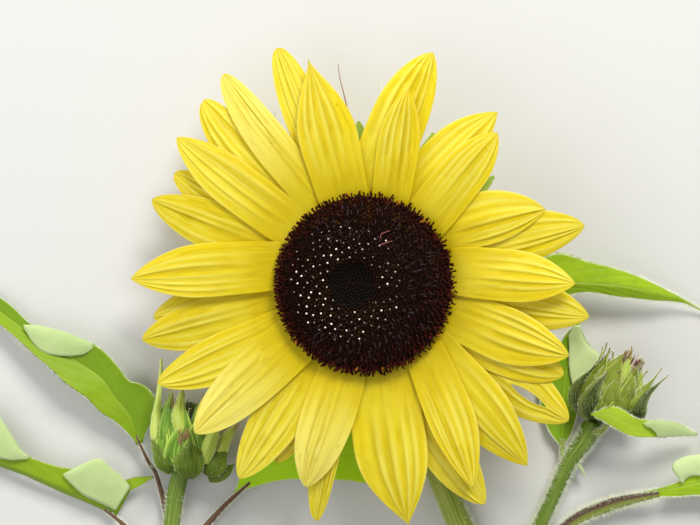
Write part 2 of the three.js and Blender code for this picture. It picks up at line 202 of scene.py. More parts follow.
def sheet(name, columns, rows, place, thickness, keys, without=None):
    # a grid shaped by place(t, v), t from base to tip and v from -1 to 1, with a real thickness
    deselect()
    bpy.ops.mesh.primitive_grid_add(x_subdivisions=columns, y_subdivisions=rows, size=2)
    obj = named(name, keys)
    if without:
        edit("DESELECT")
        bpy.ops.mesh.select_mode(type="FACE")
        leaveEdit()
        for face in obj.data.polygons:
            face.select = without((face.center.y + 1) / 2, face.center.x)
        bpy.ops.object.mode_set(mode="EDIT")
        bpy.ops.mesh.delete(type="FACE")
        bpy.ops.mesh.select_mode(type="VERT")
        leaveEdit()
    reshape(obj, lambda x, y, z: place((y + 1) / 2, x))
    thicken(obj, thickness, len(keys) - 1)  # the underside takes the last finish
    bpy.ops.object.shade_smooth()
    return obj


def column(name, sides, steps, keys):  # a disc extruded step by step, each step 1 high
    deselect()
    bpy.ops.mesh.primitive_circle_add(vertices=sides, radius=1, fill_type="NGON")
    obj = named(name, keys)
    edit("SELECT")
    for step in range(steps):
        bpy.ops.mesh.extrude_region_move(TRANSFORM_OT_translate={"value": (0, 0, 1)})
    bpy.ops.mesh.select_all(action="SELECT")
    bpy.ops.mesh.normals_make_consistent(inside=False)
    leaveEdit()
    bpy.ops.object.shade_smooth()
    return obj


def tube(name, route, radii, sides, steps, keys, relief=None, top=(0, 1, 0)):
    # a column laid along the route; its first cap takes the last finish, its seam runs along top
    obj = column(name, sides, steps, keys)
    mesh = obj.data
    frames = route.frames(steps)
    normal, binormal = frames[steps // 2]
    seamTurn = math.atan2(binormal.dot(Vector(top)), normal.dot(Vector(top)))
    for face in mesh.polygons:
        corners = [mesh.vertices[i].co for i in face.vertices]
        if len(corners) > 4 and corners[0].z < 0.5:
            face.material_index = len(keys) - 1
        turns = [(math.atan2(corner.y, corner.x) - seamTurn) / math.tau % 1.0 for corner in corners]
        seam = max(turns) - min(turns) > 0.5 and len(corners) == 4
        for loop, turn, corner in zip(face.loop_indices, turns, corners):
            mesh.uv_layers[0].data[loop].uv = (turn + 1 if seam and turn < 0.5 else turn, corner.z / steps)

    def place(x, y, z):
        turn = math.atan2(y, x)
        radius = sample(radii, z / steps) + (relief(z / steps, turn) if relief else 0)
        return route.at(z / steps) + around(*frames[round(z)], turn) * radius

    reshape(obj, place)
    return obj


class Heap:  # many small things gathered into one mesh, each with its finish
    def __init__(self):
        self.points, self.faces, self.slots, self.keys = [], [], [], []

    def add(self, points, faces, key):
        start = len(self.points)
        self.points += [tuple(origin + p * mm) for p in points]
        self.faces += [tuple(start + i for i in face) for face in faces]
        if key not in self.keys:
            self.keys.append(key)
        self.slots += [self.keys.index(key)] * len(faces)

    def settle(self, name, slot, smooth=False):
        mesh = bpy.data.meshes.new(name)
        mesh.from_pydata(self.points, [], self.faces)
        for key in self.keys:
            mesh.materials.append(finishes[key])
        mesh.polygons.foreach_set("material_index", self.slots)
        mesh.polygons.foreach_set("use_smooth", [smooth] * len(self.faces))
        mesh.update()
        obj = bpy.data.objects.new(name, mesh)
        bpy.context.scene.collection.objects.link(obj)
        settle(obj, slot)


def join(name, objects):
    deselect()
    for obj in objects:
        obj.select_set(True)
    bpy.context.view_layer.objects.active = objects[0]
    bpy.ops.object.join()
    objects[0].name = objects[0].data.name = name
    return objects[0]


def settle(obj, slot, *nodes):  # the piece rides on the plant and stands for its solid
    for vertex in obj.data.vertices:
        vertex.co.z = max(vertex.co.z, clear["piece"] * mm)
    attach(obj, "root")
    if nodes:
        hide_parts(*nodes)


# Materials

def tone(code):  # a colour as it looks on a screen, to the renderer's linear values
    parts = [int(code[i:i + 2], 16) / 255 for i in (0, 2, 4)]
    return tuple(p / 12.92 if p <= 0.04045 else ((p + 0.055) / 1.055) ** 2.4 for p in parts) + (1.0,)


class Wire:  # a socket that adds Math nodes as it is used in an expression
    def __init__(self, finish, socket):
        self.finish, self.socket = finish, socket

    def math(self, operation, *inputs, clampIt=False):
        return self.finish.node("ShaderNodeMath", {"operation": operation, "use_clamp": clampIt},
                                dict(enumerate(inputs)))

    def __add__(self, other):
        return self.math("ADD", self, other)

    def __sub__(self, other):
        return self.math("SUBTRACT", self, other)

    def __rsub__(self, other):
        return self.math("SUBTRACT", other, self)

    def __mul__(self, other):
        return self.math("MULTIPLY", self, other)

    __radd__ = __add__
    __rmul__ = __mul__

    def clamped(self):
        return self.math("ADD", self, 0.0, clampIt=True)

    def size(self):
        return self.math("ABSOLUTE", self)

    def fraction(self):
        return self.math("FRACT", self)

    def offMiddle(self):  # 0 at a half, 1 at 0 and at 1
        return (self * 2.0 - 1.0).size()

    def step(self, low, high):  # 0 under low to 1 over high, softly
        return self.finish.node("ShaderNodeMapRange", {"interpolation_type": "SMOOTHSTEP"},
                                {"Value": self, "From Min": low, "From Max": high})


class Finish:  # a material, its nodes and the colour that its coats build up
    def __init__(self, name, colour):
        self.material = bpy.data.materials.new(name)
        self.material.use_nodes = True
        self.tree = self.material.node_tree
        self.shader = self.tree.nodes["Principled BSDF"]
        self.output = self.tree.nodes["Material Output"]
        self.colour = colour

    def plug(self, socket, value):
        if isinstance(value, Wire):
            self.tree.links.new(value.socket, socket)
        else:
            socket.default_value = value

    def node(self, kind, settings=None, sockets=None, out=0):
        made = self.tree.nodes.new(kind)
        for key, value in (settings or {}).items():
            setattr(made, key, value)
        for key, value in (sockets or {}).items():
            self.plug(made.inputs[key], value)
        return Wire(self, made.outputs[out])

    def coat(self, share, colour):  # the colour so far, mixed with another one: inputs 6 and 7
        self.colour = self.node("ShaderNodeMix", {"data_type": "RGBA"},
                                {0: share, 6: self.colour, 7: colour}, out=2)

    def coats(self, *rows):
        for share, code in rows:
            self.coat(share, tone(code))

    def uv(self):  # across and along the piece's own UV map
        across = self.node("ShaderNodeSeparateXYZ", sockets={0: self.node("ShaderNodeTexCoord", out=2)})
        return across, Wire(self, across.socket.node.outputs[1])

    def place(self, scale):  # object coordinates, scaled
        spot = self.node("ShaderNodeTexCoord", out=3)
        return self.node("ShaderNodeMapping", sockets={0: spot, 3: (scale, scale, scale)})

    def vector(self, *parts):
        return self.node("ShaderNodeCombineXYZ", sockets=dict(enumerate(parts)))

    def noise(self, where, detail):
        return self.node("ShaderNodeTexNoise", sockets={"Vector": where, "Scale": 1.0, "Detail": detail})

    def cells(self, where, feature="F1", scale=1.0):
        return self.node("ShaderNodeTexVoronoi", {"feature": feature}, {"Vector": where, "Scale": scale})

    def done(self, roughness, specular=0.5, height=None, bump=0.5):
        self.plug(self.shader.inputs["Base Color"], self.colour)
        self.shader.inputs["Roughness"].default_value = roughness
        self.shader.inputs["Specular IOR Level"].default_value = specular
        if height:
            self.plug(self.shader.inputs["Normal"], self.node("ShaderNodeBump", sockets={
                "Strength": bump, "Distance": 0.0003, "Height": height}))
        return self.material

    def letThrough(self, share, colour):  # light from behind shines through a thin sheet
        through = self.node("ShaderNodeBsdfTranslucent", sockets={"Color": colour})
        both = self.node("ShaderNodeMixShader", sockets={
            0: share, 1: Wire(self, self.shader.outputs[0]), 2: through})
        self.plug(self.output.inputs["Surface"], both)


# Pleats of the petals: places across (-1 to 1) and which way each one leans, the petal's painted
# light tone (paler on sunlit petals, olive on shaded ones) and its share
pleats = [
    ([(-0.6, 1), (-0.3, 1), (0.08, 1), (0.42, 1)], "f8ea38", 0.0),
    ([(-0.5, -1), (-0.12, -1), (0.2, 1), (0.56, 1)], "fbf260", 0.35),
    ([(-0.62, 1), (-0.02, -1), (0.34, 1)], "cdbd04", 0.5),
    ([(-0.7, -1), (-0.42, -1), (-0.08, 1), (0.28, -1), (0.62, 1)], "f8ea38", 0.0),
    ([(-0.46, 1), (-0.2, 1), (0.15, -1), (0.5, -1)], "fffa94", 0.8),
    ([(-0.55, 1), (-0.25, -1), (0.05, 1), (0.3, 1), (0.66, -1)], "d8c504", 0.5),
]


def petalFinish(name, lanes, paintedLightTone, share):
    finish = Finish(name, tone("d9c204"))
    across, length = finish.uv()
    side = across.offMiddle()
    broad = finish.noise(finish.place(55), 2.0)
    veins = finish.noise(finish.vector(across * 30.0, length * 1.6, broad * 5.0), 2.0)
    lightAndShadeBands = finish.noise(finish.vector(across * 8.0, length * 0.9, broad * 4.0), 1.0)
    spots = finish.cells(finish.place(95))
    reach = length.step(0.08, 0.5) * (veins * 0.7 + broad * 0.7).step(0.3, 0.75)
    finish.coats(
        # deeper yellow towards the foot: partly the petal's own colour, partly painted shade next to the
        # disc
        (length.step(0.0, 0.4), "efda0e"),
        (length.step(0.3, 0.95) * 0.8, "f5e01c"),
        # painted light: a paler tone on sunlit petals, an olive one on shaded petals
        (length.step(0.1, 0.6) * share, paintedLightTone),
        # broad lengthwise bands of painted shade and painted light
        (lightAndShadeBands.step(0.46, 0.66) * 0.65, "d0b800"),
        ((1.0 - lightAndShadeBands).step(0.5, 0.68) * reach * 0.65, "fcf56c"),
        (veins.step(0.46, 0.72) * 0.3, "ccb600"),
        ((1.0 - veins).step(0.5, 0.74) * 0.35, "f8ec38"),
        (broad.step(0.4, 0.66) * 0.25, "f9ee50"))
    for lane, hand in lanes:  # a painted highlight on each crest beside painted shade in its crease
        off = across + (broad - 0.5) * 0.05 - (lane + 0.06 * hand + 1) / 2
        crest = (off + 0.05 * hand).size().step(0.0, 0.07)
        creaseShade = off.size().step(0.0, 0.04)
        finish.coats(((1.0 - crest) * reach * 0.65, "fdf774"), ((1.0 - creaseShade) * reach * 0.42, "b8a200"))
    finish.coats(
        # a painted highlight along the edges
        (side.step(0.92, 1.0) * length.step(0.2, 0.6) * 0.5, "fdf590"),
        (length.step(0.988, 0.999) * 0.8, "dba63c"),
        ((1.0 - spots.step(0.012, 0.03)) * 0.75, "6b5210"))
    finish.letThrough(0.42, (0.88, 0.78, 0.05, 1.0))
    return finish.done(0.45, 0.25, veins, 0.35)


def plainFinish(name, code, roughness, grain=0.25, specular=0.4):
    finish = Finish(name, tone(code))
    spots = finish.noise(finish.place(700), 2.0)
    finish.coats((spots.step(0.35, 0.7) * grain, "000000"))
    return finish.done(roughness, specular)


def leafFinish(name, blade, vein, dark, roughness, through, rib=1.0, margin=None, shadedRightHalf=None):
    finish = Finish(name, tone(blade))
    across, length = finish.uv()
    side = across.offMiddle()
    midrib = 1.0 - side.step(0.008, 0.035)
    saw = (length * 7.0 - (side * 2.2 if rib else across * 1.6)).fraction()
    lateral = saw.offMiddle().step(0.92, 0.99) * (1.0 - side.step(0.6, 0.95))
    net = finish.cells(finish.vector(across * 16.0, length * 34.0), "DISTANCE_TO_EDGE", 1.6)
    veins = (midrib * rib + lateral * 0.35 + (1.0 - net.step(0.0, 0.09)) * 0.12).clamped()
    cloud = finish.noise(finish.place(48), 3.0)
    fine = finish.noise(finish.place(260), 3.0)
    specks = finish.cells(finish.place(75))
    finish.coats((cloud.step(0.35, 0.68) * 0.6, dark))
    # painted shade: the right half of the blade darker
    if shadedRightHalf:
        finish.coats((across.step(0.48, 0.54) * 0.75, shadedRightHalf))
    finish.coats(
        (fine.step(0.42, 0.7) * 0.3, dark),
        (veins * 0.7, vein),
        ((1.0 - specks.step(0.014, 0.04)) * 0.7, "5e5a20"),
        (side.step(0.91, 0.97) * 0.75, vein),
        (length.step(0.82, 0.9) * 0.75 * rib, vein))
    if margin:
        finish.coats((1.0 - across.step(0.012, 0.03), margin))
    finish.letThrough(0.3, tuple(part * through for part in tone(blade)[:3]) + (1.0,))
    return finish.done(roughness, 0.35, fine * 0.5 - veins, 0.3)


def stemFinish(name, green, pale, flush, top=None):
    finish = Finish(name, tone(green))
    turn, length = finish.uv()
    streak = finish.noise(finish.vector(turn * 26.0, length * 5.0), 2.0)
    cloud = finish.noise(finish.place(55), 3.0)
    pores = finish.noise(finish.place(1600), 1.0)
    finish.coats((streak.step(0.35, 0.68), pale), (cloud.step(0.45, 0.75) * 0.5, flush))
    if top:  # the UV map's seam runs along the top
        finish.coats(((turn.offMiddle() + streak * 0.2).step(0.5, 0.76), top))
    return finish.done(0.6, 0.35, streak * 0.7 + pores * 0.3)


def bractFinish(name, green, pale, tip, rim=0.72):
    finish = Finish(name, tone(green))
    across, length = finish.uv()
    side = across.offMiddle()
    veins = finish.noise(finish.vector(across * 12.0, length * 2.0), 2.0)
    finish.coats(
        (veins.step(0.4, 0.7) * 0.5, pale),
        (side.step(rim, 0.98) * 0.75, pale),
        (length.step(0.72, 0.98) * 0.8, tip))
    return finish.done(0.65, 0.3, veins)


palette = {  # each kind of finish, then its colours and numbers in the order that it takes them
    petalFinish: {f"petal{i}": pleat for i, pleat in enumerate(pleats)},
    plainFinish: {
        "floretRim": ("48180e", 0.85, 0.4, 0.1), "floretRimDark": ("36130b", 0.85, 0.4, 0.1),
        # the first of these, a lighter brown, is painted light on the top of the rim
        "floretWarm": ("50300f", 0.85, 0.4, 0.1), "floretBrown": ("2b1408", 0.85, 0.4, 0.1),
        "floretBlack": ("1e0d06", 0.85, 0.3, 0.08), "floretTan": ("43280e", 0.85, 0.4, 0.1),
        "floretBud": ("0a0e0a", 0.8, 0.2, 0.1), "floretRust": ("a8641c", 0.6, 0.3, 0.2),
        # the grey stroke finish is a painted highlight on the floret tubes
        "styleGrey": ("43343a", 0.6, 0.2, 0.2), "stylePink": ("b46a62", 0.6, 0.2, 0.2),
        "pollen": ("fbeedc", 0.5, 0.05), "pollenDull": ("b8a89c", 0.5, 0.1),
        "pollenDim": ("887a74", 0.6, 0.1), "pith": ("dfe3b4", 0.7, 0.1), "hair": ("eef3d8", 0.4, 0.0),
        "threadBrown": ("9a6a58", 0.6, 0.2), "threadPale": ("dfe4c0", 0.6, 0.1),
        "budTip": ("724634", 0.6, 0.3), "budOchre": ("9c7c3c", 0.6, 0.2), "budHook": ("b49c84", 0.6, 0.2),
    },
    stemFinish: {
        "stem": ("788a22", "a4ae4e", "6a7422"), "branch": ("5c781c", "7c923c", "50661a"),
        "petiole": ("7d962e", "a6b25c", "7a5a30"), "petioleBrown": ("5c3c30", "74563c", "4a2c28"),
        "petioleTwoTone": ("74822c", "98a44e", "6a5a30", "4e362a"),
    },
    leafFinish: {
        "leaf": ("b8da20", "dfeca0", "8cb810", 0.45, 0.9),
        "leafLeft": ("9ebe12", "b8d040", "88ac0c", 0.5, 0.8, 1.0, "6e4c2e"),
        # a darker right half on this blade: painted shade
        "leafTwoTone": ("94b60c", "b0cc3c", "84a20a", 0.5, 0.85, 1.0, "6e4c2e", "749c06"),
        "leafYoung": ("c8e43a", "e2f084", "b2d424", 0.5, 0.9),
        # leafShade and leafLit are darker and brighter copies of the blade, painted shade and painted
        # light; leafFlapLit is a brighter flap, painted light
        "leafShade": ("8cb40c", "b4d040", "729a08", 0.55, 0.8),
        "leafLit": ("c8f606", "daf648", "b6e804", 0.6, 1.1),
        "leafUnder": ("d2e6a0", "e4eec0", "c4dc8c", 0.6, 0.8),
        "leafFlap": ("d2e6a2", "e6f0c6", "bcd886", 0.6, 0.8, 0.0),
        "leafFlapLit": ("e6f6b8", "f0f8d4", "d2ea9c", 0.6, 0.9, 0.0),
    },
    bractFinish: {
        "bract": ("6e8c18", "c0cc68", "86a034"), "budBract": ("6c7c1a", "aeba50", "7c4c36"),
        # the darkest bud finish is painted shade, for the bulb's shadows
        "budPale": ("a2b63c", "d6de8c", "885a42"), "budDark": ("26360a", "8a9a4a", "806a3c", 0.3),
        "budGreen": ("507a10", "b2cc56", "a09a50"), "budDeep": ("4c6008", "748c24", "6c7a2c", 0.5),
        "budStrand": ("b6ca4c", "e4eaa4", "ccd684"),
    },
}
finishes = {name: make(name, *row) for make, rows in palette.items() for name, row in rows.items()}
print("finishes ready", len(finishes))


# Rays, from the right and anticlockwise: base angle, tip angle, reach, half width on the
# anticlockwise side and on the clockwise one, level (0 in front), bluntness, share of the foot
rays = [
    (8, 0.1, 69.4, 9.5, 8, 0, 0.85), (17, 14.9, 75, 10, 7.5, 2, 0.7),
    (33, 22.6, 64.3, 10.8, 6.5, 1, 0.8), (46, 48.9, 66.3, 8, 8, 0, 0.75, 0.85),
    (62, 52.5, 71.7, 10.3, 7, 2, 0.9), (84, 73.7, 79.6, 11.8, 7.5, 1, 0.7),
    (72, 77.6, 65.5, 7.3, 6.8, 0, 0.8), (104, 104.1, 76.2, 9.6, 9.8, 0, 1.4),
    (108, 110.3, 82.9, 6.8, 7, 2, 0.5), (117, 124.1, 83.8, 7.8, 5.2, 1, 0.5),
    (131, 131.2, 80.6, 10, 6, 2, 0.5), (141, 142.1, 78.6, 9, 7.4, 1, 0.75),
    (152, 149.8, 72.6, 7, 6, 3, 0.5), (158, 158.4, 75.4, 9, 7.5, 2, 0.65),
    (169, 178.7, 77.3, 8, 10.2, 0, 0.85), (184, 189, 70.7, 7, 8, 3, 0.65),
    (192, 193.9, 75.9, 9, 8, 2, 0.7), (207, 205.5, 75.9, 9.5, 6.7, 1, 0.7),
    (220, 221.3, 74.3, 8.3, 9.6, 0, 0.7, 0.75), (234, 237, 76.4, 9, 8, 1, 0.7),
    (243, 243.5, 66, 6, 7, 3, 0.6), (257, 253.6, 69.9, 8.5, 9.3, 0, 0.75, 0.65),
    (256, 258.4, 79.8, 4, 6, 2, 0.5), (283, 280.1, 80.8, 10.7, 14, 1, 1.1, 0.6),
    (309, 297.9, 76, 10, 5.5, 0, 0.9), (296, 298.4, 82.8, 7, 11, 2, 0.7),
    (313, 311.7, 80.4, 10.5, 8.5, 1, 0.85), (326, 326.2, 80.9, 9.5, 9.5, 3, 0.65),
    (338, 335.4, 72.1, 7, 9.7, 2, 0.65, 0.7), (345, 340.7, 71.4, 7.5, 10.5, 1, 0.8),
    (355, 351.6, 74.8, 9.5, 8, 3, 0.75),
]
petal = {
    "base": 27.4, "widest": 0.45, "foot": 0.84, "footExtra": 0.2, "thickness": 0.3,
    "arch": 3.2, "pitchInner": 1.0, "pitchOuter": 2.1,
    "columns": 52, "rows": 42, "ridge": 0.57, "roof": 0.09, "seed": 11,
    "tall": (0.35, 1.1), "wide": (0.25, 0.5), "begin": (0.0, 0.45), "end": (0.65, 1.1),  # of a ridge
    "crest": (-0.35, 0.35), "roofs": (0.2, 1.4), "lean": (-0.35, 0.35), "curl": (-1.4, 1.8),
    "pleats": [0, 5, 3, 3, 3, 0, 0, 0, 1, 4, 3, 1, 0, 2, 3, 2, 2, 3, 4, 1, 5, 4, 2, 0, 3, 1, 2, 5, 3,
               0, 5],
    "slit": {"ray": 28, "from": 0.585, "to": 0.84, "middle": 0.05, "width": 2.5},
}


def levelHeight(level, radius):
    out = clamp((radius - petal["base"]) / 55)
    pitch = mix(petal["pitchInner"], petal["pitchOuter"], out)
    return petal["arch"] * math.sin(math.pi * out * 0.85) - level * pitch


def alongPetal(step):  # rows stand closer near the tip
    return 0.35 * step + 0.65 * math.sin(math.pi / 2 * step)


def petalPlace(number, rng):
    baseAngle, tipAngle, reach, left, right, level, blunt, *footShare = rays[number - 1]
    foot = min(0.95, footShare[0] + petal["footExtra"]) if footShare else petal["foot"]
    shown = polar(reach, tipAngle)
    tip = onHead(shown.x, shown.y, levelHeight(level, reach))
    start = polar(petal["base"], baseAngle)
    course = Vector((tip.x - start.x, tip.y - start.y, 0))
    side = Vector((-course.y, course.x, 0)).normalized()
    ridges = [(lane, hand, *(rng.uniform(*petal[key]) for key in ("tall", "wide", "begin", "end")))
              for lane, hand in pleats[petal["pleats"][number - 1]][0]]
    crest, roof, lean, curl = (rng.uniform(*petal[key]) for key in ("crest", "roofs", "lean", "curl"))
    roof *= petal["roof"]
    phase = rng.uniform(0, 6)
    slit = petal["slit"]

    def place(step, v):
        t = alongPetal(step)
        if t < petal["widest"]:
            share = foot + (1 - foot) * math.sin(math.pi / 2 * t / petal["widest"]) ** 0.8
        else:
            beyond = (t - petal["widest"]) / (1 - petal["widest"])
            share = max(0.0, 1 - min(beyond, 1) ** 2.2) ** blunt
        half = max((left if v < 0 else right) * share, 0.12)
        half *= 1 + 0.02 * math.sin(9 * t + phase) * math.sin(math.pi * t)
        across = half * v
        if number == slit["ray"] and slit["from"] < t < slit["to"]:
            gape = slit["width"] / 2 * math.sin(
                math.pi * (t - slit["from"]) / (slit["to"] - slit["from"])) ** 0.8
            middle = half * slit["middle"]
            hand = 1 if across > middle else -1
            room = abs(hand * half - middle)
            across = middle + hand * (gape + abs(across - middle) * (room - gape) / room)
        point = start + course * t - side * across
        if point.length < petal["base"]:
            point.length = petal["base"]
        fine = min(1, half / 4) * ease(t / 0.3)
        height = levelHeight(level, point.length)
        for lane, hand, tall, wide, begin, end in ridges:  # up slowly, then down at once
            off = (v - lane) * hand
            fold = max(0.0, 1 + off / wide) ** 1.3 if off < 0 else 1 - ease(off / 0.13)
            rise = ease((t - begin) / 0.4) * (1 - 0.75 * ease((t - end) / 0.25))
            height += petal["ridge"] * tall * fine * rise * fold
        height += fine * (roof * half * (0.5 - abs(v - crest)) + lean * v)
        height += curl * ease((t - 0.55) / 0.45) ** 2
        return tilted(point.x, point.y, height)

    return place


def inSlit(step, v):  # the faces that the slit in one petal leaves out
    slit = petal["slit"]
    return slit["from"] < alongPetal(step) < slit["to"] and (
        abs(v - slit["middle"]) < 1 / petal["columns"])


def makePetals():
    rng = random.Random(petal["seed"])
    for number in range(1, len(rays) + 1):
        obj = sheet(f"petal{number:02d}", petal["columns"], petal["rows"], petalPlace(number, rng),
                    petal["thickness"], [f"petal{petal['pleats'][number - 1]}"],
                    inSlit if number == petal["slit"]["ray"] else None)
        settle(obj, "ray", f"ray_{number:02d}")
    print("petals made", len(rays))


# Disc: a dome crowded with florets, open ones outside, budded ones in the sunken middle.
# Dots of pollen lie about the pit, as far from it as dotReach says in steps of 30 degrees
# anticlockwise from the right, brightest where brightSide points.
disc = {
    "radius": 29.6, "bottom": 1.15, "rise": 7.2, "pit": 8.4, "pitDepth": 3.0,
    "pitX": -3.7, "pitY": -0.4, "spacing": 0.66, "seed": 5, "stylesAndHighlights": 210, "teeth": 280,
    "inset": [0.93, 0.92, 0.9, 0.88, 0.86, 0.83, 0.8, 0.74, 0.62, 0.4],
    # the third: how far up the disc some florets take a lighter brown, painted light on the top of the rim
    "openFrom": 0.6, "tanReach": 17, "litTopFrom": 17, "rustFrom": 35, "rustTo": 75,
    "reds": ["floretRim", "floretRimDark"],
    "browns": ["floretRimDark", "floretBrown", "floretBrown", "floretBlack"],
    "closedTones": ["floretBrown", "floretBrown", "floretBlack"],
    "lobeTones": ["floretRim", "floretRim", "floretRimDark"],
    # Rings of a budded floret, a closed one, an open one and a dot: share of its height, radius
    "budded": [(0, 0.45), (0.62, 0.44), (0.72, 0.25)],
    "closed": [(0, 0.3), (0.75, 0.32), (1, 0.2), (1.1, 0.06)],
    "open": [(0, 0.3), (0.7, 0.27), (1, 0.16)],
    "dot": [(-1, 0.3), (-0.5, 0.85), (0.2, 1), (0.75, 0.6)],
    "dots": 260, "dotSpacing": 1.47, "dotJitter": 0.35, "dotStart": 8.5,
    "dotSizes": {"pollenDim": 0.2666, "pollenDull": 0.2976, "pollen": 0.3286},
    "dullDots": ["pollenDim", "pollenDim", "pollenDull"],
    "dotReach": [15.5, 17, 18.5, 19.5, 21.5, 22, 21, 20.5, 19.5, 19, 17.5, 16, 15.5],
    "dotWhite": (0.08, 0.5), "dotShown": (0.72, 1.0),  # shares on the dark and on the bright side
    "brightSide": 215,
    "shift": 0.22, "closedTall": (0.8, 1.5), "openTall": (0.9, 1.5), "lobe": (0.5, 0.8),
    "toothIn": (0.1, 2.2), "toothRise": (0.2, 1.5), "toothTall": (0.8, 1.7),
    # the grey strokes of painted highlight on the floret tubes: their arcs, reach, length, foot and tip
    "highlightArcs": [(-75, 55), (-75, 55), (55, 130), (220, 285)], "highlightReach": (14.5, 25.5),
    "highlightLong": (0.7, 1.9), "highlightFoot": (0.5, 0.9), "highlightTip": (0.8, 1.3), "styleAndHighlightWidth": 0.13,
    "pinkStyles": [(5.4, 16.6, 20, 3.0), (5.0, 15.0, 75, 1.9), (5.2, 13.0, 18, 4.0)],
}
goldenTurn = math.pi * (3 - math.sqrt(5))


def discHeight(x, y):  # of the dome under the florets, in the head's own frame
    radius = math.hypot(x, y) / disc["radius"]
    dome = disc["rise"] * math.sqrt(max(0.0, 1 - radius ** 2.6)) ** 0.9
    hollow = math.hypot(x - disc["pitX"], y - disc["pitY"]) / disc["pit"]
    return disc["bottom"] + dome - disc["pitDepth"] * math.exp(-hollow ** 4)


def discNormal(x, y):
    step = 0.3
    slopeX = (discHeight(x + step, y) - discHeight(x - step, y)) / (2 * step)
    slopeY = (discHeight(x, y + step) - discHeight(x, y - step)) / (2 * step)
    return Vector((-slopeX, -slopeY, 1)).normalized()


def wrap(rings, sides):
    faces = [tuple(reversed(range(sides))), tuple((rings - 1) * sides + i for i in range(sides))]
    for r in range(rings - 1):
        for i in range(sides):
            a, b = r * sides + i, r * sides + (i + 1) % sides
            faces.append((a, b, b + sides, a + sides))
    return faces


def standing(heap, foot, axis, rings, tall, key, twist=0.0, wide=1.0, sides=5):
    pair = sideways(axis)
    points = []
    for share, radius in rings:
        points += ring(foot + axis * share * tall, *pair, radius * wide, sides, twist)
    heap.add([headMatrix @ point for point in points], wrap(len(rings), sides), key)


def strand(heap, spots, thick, thin, key, sides=4, steps=8):  # a thread through spots
    route = Route(spots)
    points = []
    for step, pair in enumerate(route.frames(steps)):
        points += ring(route.at(step / steps), *pair, mix(thick, thin, step / steps), sides)
    heap.add(points, wrap(steps + 1, sides), key)


def openFloret(heap, foot, axis, tall, lobe, key, rng):  # a short tube with pointed lobes
    standing(heap, foot, axis, disc["open"], tall, key, rng.random())
    crown = foot + axis * tall * 0.7
    for k in range(5):
        flare = around(*sideways(axis), math.tau * (k + rng.uniform(-0.25, 0.25)) / 5)
        course = (axis + flare * rng.uniform(0.5, 1.0)).normalized()
        across = axis.cross(flare).normalized() * 0.24
        root = crown + flare * 0.16
        points = [root - across, root + across, root + course * lobe * rng.uniform(0.6, 1.2),
                  root - axis * 0.15 - flare * 0.1]
        heap.add([headMatrix @ p for p in points], [(0, 1, 2), (1, 0, 3), (2, 1, 3), (0, 2, 3)], key)


def makeDome():
    deselect()
    bpy.ops.mesh.primitive_circle_add(vertices=72, radius=disc["radius"] - 0.8, fill_type="NGON")
    dome = named("discDome", ["floretBlack"])
    edit("SELECT")
    for size in disc["inset"]:
        bpy.ops.mesh.inset(thickness=0.0001)
        bpy.ops.transform.resize(value=(size, size, 1))
    leaveEdit()
    reshape(dome, lambda x, y, z: tilted(x, y, discHeight(x, y) - 0.6))
    thicken(dome, 1.0)
    settle(dome, "disc", "bloom_disc")


def makeFlorets(outer, inner, rng):
    count = int((disc["radius"] / disc["spacing"]) ** 2)
    shift = disc["shift"]
    for n in range(count):
        spread = disc["spacing"] * math.sqrt(n + 0.5)
        share = spread / disc["radius"]
        turn = n * goldenTurn
        x = spread * math.cos(turn) + disc["pitX"] * (1 - share ** 2) + rng.uniform(-shift, shift)
        y = spread * math.sin(turn) + disc["pitY"] * (1 - share ** 2) + rng.uniform(-shift, shift)
        foot = Vector((x, y, discHeight(x, y) - 0.5))
        axis = discNormal(x, y)
        outward = Vector((x - disc["pitX"] * 0.5, y, 0)).normalized()
        fromPit = math.hypot(x - disc["pitX"], y - disc["pitY"])
        jitter = Vector((rng.uniform(-1, 1), rng.uniform(-1, 1), 0))
        if fromPit < disc["pit"] - 0.4:
            standing(inner, foot, (axis + jitter * 0.04).normalized(), disc["budded"], 1, "floretBud",
                     rng.random())
            continue
        axis = (axis + outward * 0.35 * ease((share - 0.6) / 0.4) + jitter * 0.35).normalized()
        if share < disc["openFrom"]:
            tall = rng.uniform(*disc["closedTall"])
            tan = 0.55 if y < -5 and fromPit < disc["tanReach"] else 0.25
            key = "floretTan" if rng.random() < tan else rng.choice(disc["closedTones"])
            standing(inner, foot, axis, disc["closed"], tall, key, rng.random())
        else:
            red = ease((share - 0.7) / 0.28)
            key = rng.choice(disc["reds"] if rng.random() < red else disc["browns"])
            # painted light: a lighter brown on some florets at the top of the rim
            key = "floretWarm" if y > disc["litTopFrom"] and rng.random() < 0.25 else key
            tall = rng.uniform(*disc["openTall"])
            openFloret(outer, foot, axis, tall, rng.uniform(*disc["lobe"]), key, rng)
    for k in range(disc["teeth"]):  # the outermost lobes stand over the feet of the rays
        turn = 360 * (k + rng.uniform(-0.4, 0.4)) / disc["teeth"]
        foot = polar(disc["radius"] - rng.uniform(*disc["toothIn"]), turn)
        foot.z = discHeight(foot.x * 0.985, foot.y * 0.985) - 0.3
        axis = polar(1, turn + rng.uniform(-45, 45), rng.uniform(*disc["toothRise"])).normalized()
        tall = rng.uniform(*disc["toothTall"])
        rusty = rng.random() < (0.2 if disc["rustFrom"] < turn < disc["rustTo"] else 0.03)
        standing(outer, foot, axis, [(-0.5 / tall, 0.3), (0.6, 0.4), (1, 0.16)], tall,
                 "floretRust" if rusty else rng.choice(disc["lobeTones"]), rng.random())
    return count


